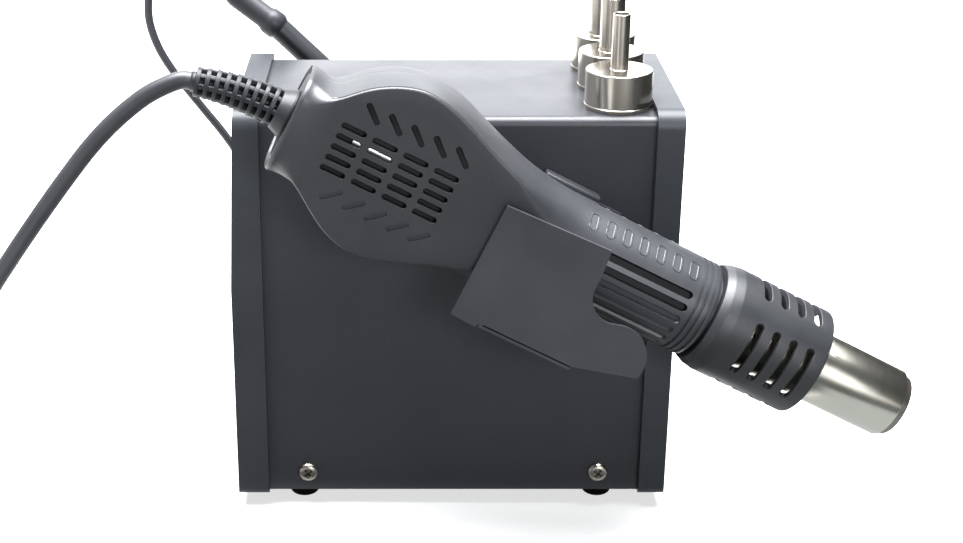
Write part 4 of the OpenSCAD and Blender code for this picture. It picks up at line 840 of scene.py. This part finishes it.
cageLook = hotEnd["cage"]
cage = turnedPiece("noseCage", cageLook["outline"], "cagePlastic", handleFrame, 128)
cagePlaces = [handleFrame @ turn(90 * g, "X") @ shift(cageLook["firstSlot"] + k * cageLook["slotPitch"], 0, 0)
              for g in range(4) for k in range(cageLook["slots"])]
cutAway(cage, repeatPiece("cageSlots", arcCutter("cageSlot", cageLook), cagePlaces, "cagePlastic"), 32)
takeOver(cage, "nose_cage")
takeOver(turnedPiece("heaterTube", hotEnd["tube"], "tubeSteel", handleFrame), "heater_tube")
takeOver(turnedPiece("outletSeat", hotEnd["seat"], "seatSteel", handleFrame), "nozzle_seat")


def buildSpringTree():
    # a wire wound along Z
    tree, sockets, start, end = newGeometryTree(
        "woundWire", [(name, "Float") for name in ("Turns", "Radius", "Length", "Wire")])
    spiral, circle, sweep = addNodes(tree, "GeometryNode", "CurveSpiral", "CurvePrimitiveCircle", "CurveToMesh")
    setInputs(spiral, {"Resolution": 12})
    setInputs(circle, {"Resolution": 6})
    wire(tree, (start, "Turns", spiral, "Rotations"), (start, "Radius", spiral, "Start Radius"),
         (start, "Radius", spiral, "End Radius"), (start, "Length", spiral, "Height"),
         (start, "Wire", circle, "Radius"), (spiral, "Curve", sweep, "Curve"),
         (circle, "Curve", sweep, "Profile Curve"), (sweep, "Mesh", end, "Geometry"))
    return tree, sockets


def woundWire(look):
    tree, sockets = buildSpringTree()
    piece = newPiece("coilSource", [(0, 0, 0)], [])
    modifier = assign(piece.modifiers.new("wind", "NODES"), node_group=tree)
    for name, value in (("Turns", look["coilTurns"]), ("Radius", look["coilRadius"] * mm),
                        ("Length", look["coilLong"] * mm), ("Wire", look["wire"] * mm)):
        modifier[sockets[name]] = float(value)
    return settle(piece, 60)


coilPlaces = [handleFrame @ turn(30 + 60 * k, "X") @ shift(hotEnd["coilStart"], 0, hotEnd["coilOut"]) @ turn(90, "Y")
              for k in range(hotEnd["coils"])]
takeOver(repeatPiece("heaterCoils", woundWire(hotEnd), coilPlaces, "coilWire"), "heater_coils")

print("stage: strain relief")

reliefLook = {
    "start": -39.5, "drop": -1.2, "long": 26, "bend": 17, "ribs": 9, "rootRadius": 6.3, "endRadius": 4.5, "core": 3.1,
    "ribOutline": [(2.6, 0.15, 0), (6, 0.15, 0.3), (6, 1.6, 0.3), (2.6, 1.6, 0)],
    "ribRadius": 6, "ribBack": 1.7,
    "bar": ((2.8, -0.75, -0.5), (5.9, 0.75)), "barAngles": [45 * k for k in range(8)],
    "collar": [(3, -39.9, 0), (6.3, -39.9, 0.5), (7.9, -36.3, 0.6), (7.9, -35.6, 0), (3, -35.6, 0)],
}


def buildRelief(look):
    arcRadius = look["long"] / radians(look["bend"])
    ribs, root = look["ribs"], look["rootRadius"]
    step = look["long"] / ribs

    def along(t):
        return (handleFrame @ shift(look["start"], 0, look["drop"] - arcRadius) @ turn(-look["bend"] * t, "Y")
                @ shift(0, 0, arcRadius) @ turn(-90, "Y"))

    def turned(name, outline, place):
        return turnedPiece(name, outline, "reliefRubber", place, 64, 50)

    spots = [along(i / ribs) for i in range(ribs)]
    sizes = [(root + (look["endRadius"] - root) * (i + 0.5) / ribs) / look["ribRadius"] for i in range(ribs)]
    low, high = look["bar"]
    bar = roundedBox(low, (*high, step), Matrix(), 0.3, "reliefRubber", "barSource")
    rings = repeatPiece("reliefRibs", turned("ribSource", look["ribOutline"], turn(-90, "Y")),
                        [spot @ shift(0, 0, step - look["ribBack"]) for spot in spots],
                        "reliefRubber", [(size, size, 1) for size in sizes])
    bars = repeatPiece("reliefBars", bar, [spot @ turn(angle, "Z") for spot in spots for angle in look["barAngles"]],
                       "reliefRubber", [(size, 1, 1) for size in sizes for angle in look["barAngles"]])
    core = sweptTube("reliefCore", [along(k / 20).translation for k in range(-1, 22)], look["core"] * mm, 32,
                     materials["reliefRubber"])
    for layer in list(core.data.uv_layers):
        core.data.uv_layers.remove(layer)
    collar = turned("reliefCollar", look["collar"], handleFrame @ shift(0, 0, look["drop"]))
    return joinPieces(rings, bars, core, collar)


takeOver(buildRelief(reliefLook), "strain_relief")

print("stage: nozzles and screws")

nozzleLook = {
    "x": 53, "base": 138.65, "pitch": 23.8, "radius": 10.85, "bead": 0.16, "cap": 12.4, "stem": 18, "wall": 0.5,
    "kinds": [("smallNozzle", "nozzle_small", 5.6), ("mediumNozzle", "nozzle_medium", 8),
              ("largeNozzle", "nozzle_large", 10.5)],  # name, node and stem's diameter
}


def buildNozzle(name, node, stem, place, look):
    r, t, cap, s = look["radius"], look["wall"], look["cap"], stem / 2
    bead, top = r + look["bead"], cap + look["stem"]
    outline = [(r, 0, 0.1), (r, 0.5, 0.1), (bead, 0.65, 0.1), (bead, 1.25, 0.1), (r, 1.4, 0.05), (r, cap, 0.45),
               (s, cap, 0.5), (s, top, 0.3), (s - t, top, 0.15), (s - t, cap - t, 0.2), (r - t, cap - t, 0.3),
               (r - t, 0, 0.1)]
    return takeOver(turnedPiece(name, outline, "nozzleNickel", place, 96, 40), node)


for index, (name, node, stem) in enumerate(nozzleLook["kinds"]):
    place = shift(nozzleLook["x"], (index - 1) * nozzleLook["pitch"], nozzleLook["base"]) @ turn(-90, "Y")
    buildNozzle(name, node, stem, place, nozzleLook)

screwLook = {
    # outline of a head of 1 mm diameter
    "head": [(0, -0.25, 0), (0.2, -0.25, 0), (0.2, 0, 0), (0.5, 0, 0), (0.5, 0.13, 0.1), (0.42, 0.25, 0.1),
             (0.28, 0.3, 0.1), (0, 0.3, 0)],
    "crossLong": 0.5, "crossWide": 0.11, "crossLevels": [(0.1, 0.5), (0.36, 1.08)],
    "firstTurn": 37, "turnStep": 53,
}


def crossCutter(look):
    # a cross that narrows with depth
    a, b = look["crossLong"] / 2, look["crossWide"] / 2
    outline = [(a, -b), (a, b), (b, b), (b, a), (-b, a), (-b, b)]
    outline += [(-x, -y) for x, y in outline]
    vertices = [Vector((x * scale, y * scale, z)) * mm for z, scale in look["crossLevels"] for x, y in outline]
    return makePiece("crossRecess", (vertices, cappedFaces(2, len(outline))), "darkScrew")


def buildScrews(name, node, places, headDiameter):
    # pan heads with a cross recess, standing up along Z of each place
    head = turnedPiece("screwHead", screwLook["head"], "darkScrew", turn(-90, "Y"), 48, 32)
    cutAway(head, crossCutter(screwLook), 32)
    spun = [place @ turn(screwLook["firstTurn"] + screwLook["turnStep"] * i, "Z") for i, place in enumerate(places)]
    return takeOver(repeatPiece(name, head, spun, "darkScrew", [(headDiameter,) * 3] * len(places)), node)


coverSide = 37.35
screwXs = (-73 + 10.4 + 13.5, 73 - 8.8 - 14)
holderScrews = [handleFrame @ shift(u, 20.8, v) @ turn(90, "X") for u, v in ((46, -4), (46, -22), (64, -22))]
holderScrews += [ironFrame @ shift(113.6, -18.8, v) @ turn(-90, "X") for v in (-9, 9)]
buildScrews("holderScrews", "holder_screws", holderScrews, 5.6)
coverScrews = [shift(x, side * coverSide, 12.5) @ turn(-90 * side, "X") for x in screwXs for side in (-1, 1)]
buildScrews("caseScrews", "cover_screws", coverScrews, 6.7)

print("stage: pieces from the construction")

guardLook = {
    "start": 100.8, "radius": 12, "rings": 5, "first": 12, "pitch": 9, "round": 6,
    "long": 6.5, "wide": 3, "levels": [(-2.5, 0), (0, 0), (1.5, 0)],
}


def guardHoles(look):
    # every other ring is turned by half a step
    places = []
    for k in range(look["rings"]):
        out = shift(look["start"] + look["first"] + k * look["pitch"], 0, look["radius"])
        places += [ironFrame @ turn(60 * a + 30 * (k % 2), "X") @ out for a in range(look["round"])]
    return repeatPiece("guardHoles", slotCutter("guardHole", look), places, "holderPaint")


def hangerSlit():
    # a dark slit along the line where the shelf is bent out of the hanger's outer plate, its walls in painted shade
    # for the shadow under the bend
    return roundedBox((45.2, -19.5, -29.6), (75.8, -16.3, -29.15), handleFrame, 0.05, "grooveShade", "hangerSlit")


cuts = {"iron_guard": lambda: guardHoles(guardLook), "handle_holder": hangerSlit}


def dressNode(name, pieceName, bevel, angle):
    # a copy with flat faces joined, edges eased and curved walls smooth
    mesh = nodes[name].data.copy()
    tidyMesh(mesh, angle, True)
    if "custom_normal" in mesh.attributes:
        mesh.attributes.remove(mesh.attributes["custom_normal"])
    piece = addObject(pieceName, mesh)
    if name in cuts:
        cutAway(piece, cuts[name](), angle)
    assign(piece.modifiers.new("edges", "BEVEL"), width=bevel * 0.0001, segments=4 if name == "handle_holder" else 2,
           limit_method="ANGLE", angle_limit=radians(angle), harden_normals=True, use_clamp_overlap=True)
    return takeOver(settle(piece), name)


dressed = {
    # width of the eased edges in tenths of a millimetre, and the angle from which an edge is eased
    "top_cover": (3, 30), "front_bezel": (6, 30), "rear_bezel": (6, 30), "rubber_feet": (4, 40),
    "base_plate": (2, 40), "front_panel": (3, 30), "rear_panel": (3, 30), "display_window": (2, 30),
    "handle_socket": (1, 40), "mains_inlet": (3, 30), "switch_body": (3, 30), "switch_rocker": (3, 30),
    "key_temp_up": (4, 30), "key_temp_down": (4, 30), "key_air_up": (4, 30), "key_air_down": (4, 30),
    "key_mode": (4, 30), "handle_holder": (5, 30), "iron_boot": (4, 40), "iron_handle": (2, 40),
    "iron_grip": (3, 40), "iron_nut": (2, 40), "iron_holder": (2, 30), "iron_funnel": (2, 40),
    "iron_guard": (1, 40), "handle_plug": (2, 40), "nozzle_posts": (2, 40),
}
ownNames = {"top_cover": "caseCover", "rubber_feet": "caseFeet", "handle_plug": "cordPlug"}


def camelName(node):
    first, *others = node.split("_")
    return first + "".join(word.capitalize() for word in others)


for name, node in nodes.items():
    node.data.materials.clear()
    node.data.materials.append(materials[finishOfSlot[slotOfNode[name]]])
for name, edges in dressed.items():
    dressNode(name, ownNames.get(name, camelName(name)), *edges)

print("stage: studio")

studio = {
    "floorColour": (0.38, 0.38, 0.38),
    "floorReach": (0.9, 1.7),
    "floorCorners": [(-6, -4, 0), (6, -4, 0), (6, 8, 0), (-6, 8, 0)],
    "shownFloor": 0.62,
    "worldStrength": 0.12,
    "worldTint": (0.93, 0.96, 1),
    "lamps": [
        # name, place, aim, width, height, watts, colour
        ("overheadBox", (0.0, 0.05, 1.3), (0, -0.02, 0.08), 1.4, 0.9, 190, (0.96, 0.98, 1)),
        ("backBox", (-0.1, 1.7, 0.8), (0.0, 0, 0.12), 1.9, 1.3, 21, (0.95, 0.975, 1)),
        ("frontBox", (0.45, -1.35, 0.5), (0, 0, 0.1), 0.35, 0.35, 14, (0.95, 0.975, 1)),
    ],
    "cardTint": (0.92, 1, 1.02),
    "cardLift": 0.002,
    "cards": [
        # brightness and corners, which lie on the floor where they have no height
        (0.08, [(-2.5, -1.15, 0.25), (2.5, -1.15, 0.25), (2.5, -0.38, 1.5), (-2.5, -0.38, 1.5)]),
        (0.2, [(-0.11, -0.045), (0.088, -0.045), (0.25, -1.9), (-0.7, -1.9)]),
        (0.9, [(0.095, -0.2), (0.34, -0.2), (0.34, 0.1), (0.095, 0.1)]),
        (0.12, [(0.095, -0.2), (1.6, -0.2), (1.6, -1.9), (0.25, -1.9)]),
        (0.06, [(0.35, -0.24), (1.6, -0.24), (1.6, 1.7), (0.35, 1.7)]),
        (0.06, [(1.25, -1.4, 0), (1.25, 1.75, 0), (1.25, 1.75, 1.5), (1.25, -1.4, 1.5)]),
        (0.06, [(0.85, 1.75, 0), (1.25, 1.75, 0), (1.25, 1.75, 1.5), (0.85, 1.75, 1.5)]),
    ],
}


def shownRays(tree):
    # the node and output that give 1 for the rays that show the background
    rays = tree.nodes.new("ShaderNodeLightPath")
    shown = (rays, "Is Camera Ray")
    for name in ("Is Glossy Ray", "Is Transmission Ray"):
        either = addNode(tree, "ShaderNodeMath", operation="MAXIMUM")
        wire(tree, (*shown, either, 0), (rays, name, either, 1))
        shown = (either, 0)
    return shown


def buildFloor(look):
    # paper that fades out away from the object
    material, tree, output = newMaterial("studioFloor")
    paper, glow, both, clear, mix, place = addNodes(
        tree, "ShaderNode", "BsdfDiffuse", "Emission", "AddShader", "BsdfTransparent", "MixShader", "TexCoord")
    reach = addNode(tree, "ShaderNodeVectorMath", operation="LENGTH")
    fade = addNode(tree, "ShaderNodeMapRange", interpolation_type="SMOOTHSTEP")
    level = addNode(tree, "ShaderNodeMath", operation="MULTIPLY")
    near, far = look["floorReach"]
    setInputs(paper, {"Color": (*look["floorColour"], 1)})
    setInputs(fade, {"From Min": near, "From Max": far})
    setInputs(level, {1: look["shownFloor"]})
    wire(tree, (*shownRays(tree), level, 0), (level, 0, glow, "Strength"), (paper, 0, both, 0), (glow, 0, both, 1),
         (place, "Object", reach, 0), (reach, "Value", fade, "Value"), (fade, "Result", mix, 0),
         (both, 0, mix, 1), (clear, 0, mix, 2), (mix, 0, output, 0))
    newPiece("studioFloor", look["floorCorners"], [(0, 1, 2, 3)], material)


def buildCard(name, brightness, corners, look):
    # a glowing panel that only reflections see
    material, tree, output = newMaterial(name)
    glow = setInputs(tree.nodes.new("ShaderNodeEmission"), {"Strength": brightness, "Color": (*look["cardTint"], 1)})
    wire(tree, (glow, 0, output, 0))
    card = newPiece(name, [(*corner, look["cardLift"])[:3] for corner in corners], [(0, 1, 2, 3)], material)
    for ray in ("camera", "diffuse", "transmission", "volume_scatter", "shadow"):
        setattr(card, "visible_" + ray, False)


def buildWorld(look):
    # a white background and a dimmer light from it
    scene.world = bpy.data.worlds.new("studioWorld")
    tree, output = emptyTree(scene.world, "World")
    light, shown, pick = addNodes(tree, "ShaderNode", "Background", "Background", "MixShader")
    setInputs(light, {"Strength": look["worldStrength"], "Color": (*look["worldTint"], 1)})
    setInputs(shown, {"Strength": 1, "Color": (1, 1, 1, 1)})
    wire(tree, (*shownRays(tree), pick, 0), (light, 0, pick, 1), (shown, 0, pick, 2), (pick, 0, output, 0))


def buildStudio(look):
    buildFloor(look)
    for i, (brightness, corners) in enumerate(look["cards"]):
        buildCard("reflectedCard%d" % i, brightness, corners, look)
    buildWorld(look)
    for name, place, aim, width, height, watts, colour in look["lamps"]:
        data = assign(bpy.data.lights.new(name, "AREA"), shape="RECTANGLE", size=width, size_y=height,
                      energy=watts, color=colour)
        turned = (Vector(aim) - Vector(place)).to_track_quat("-Z", "Y").to_euler()
        addObject(name, data, location=place, rotation_euler=turned, visible_camera=False)


buildStudio(studio)
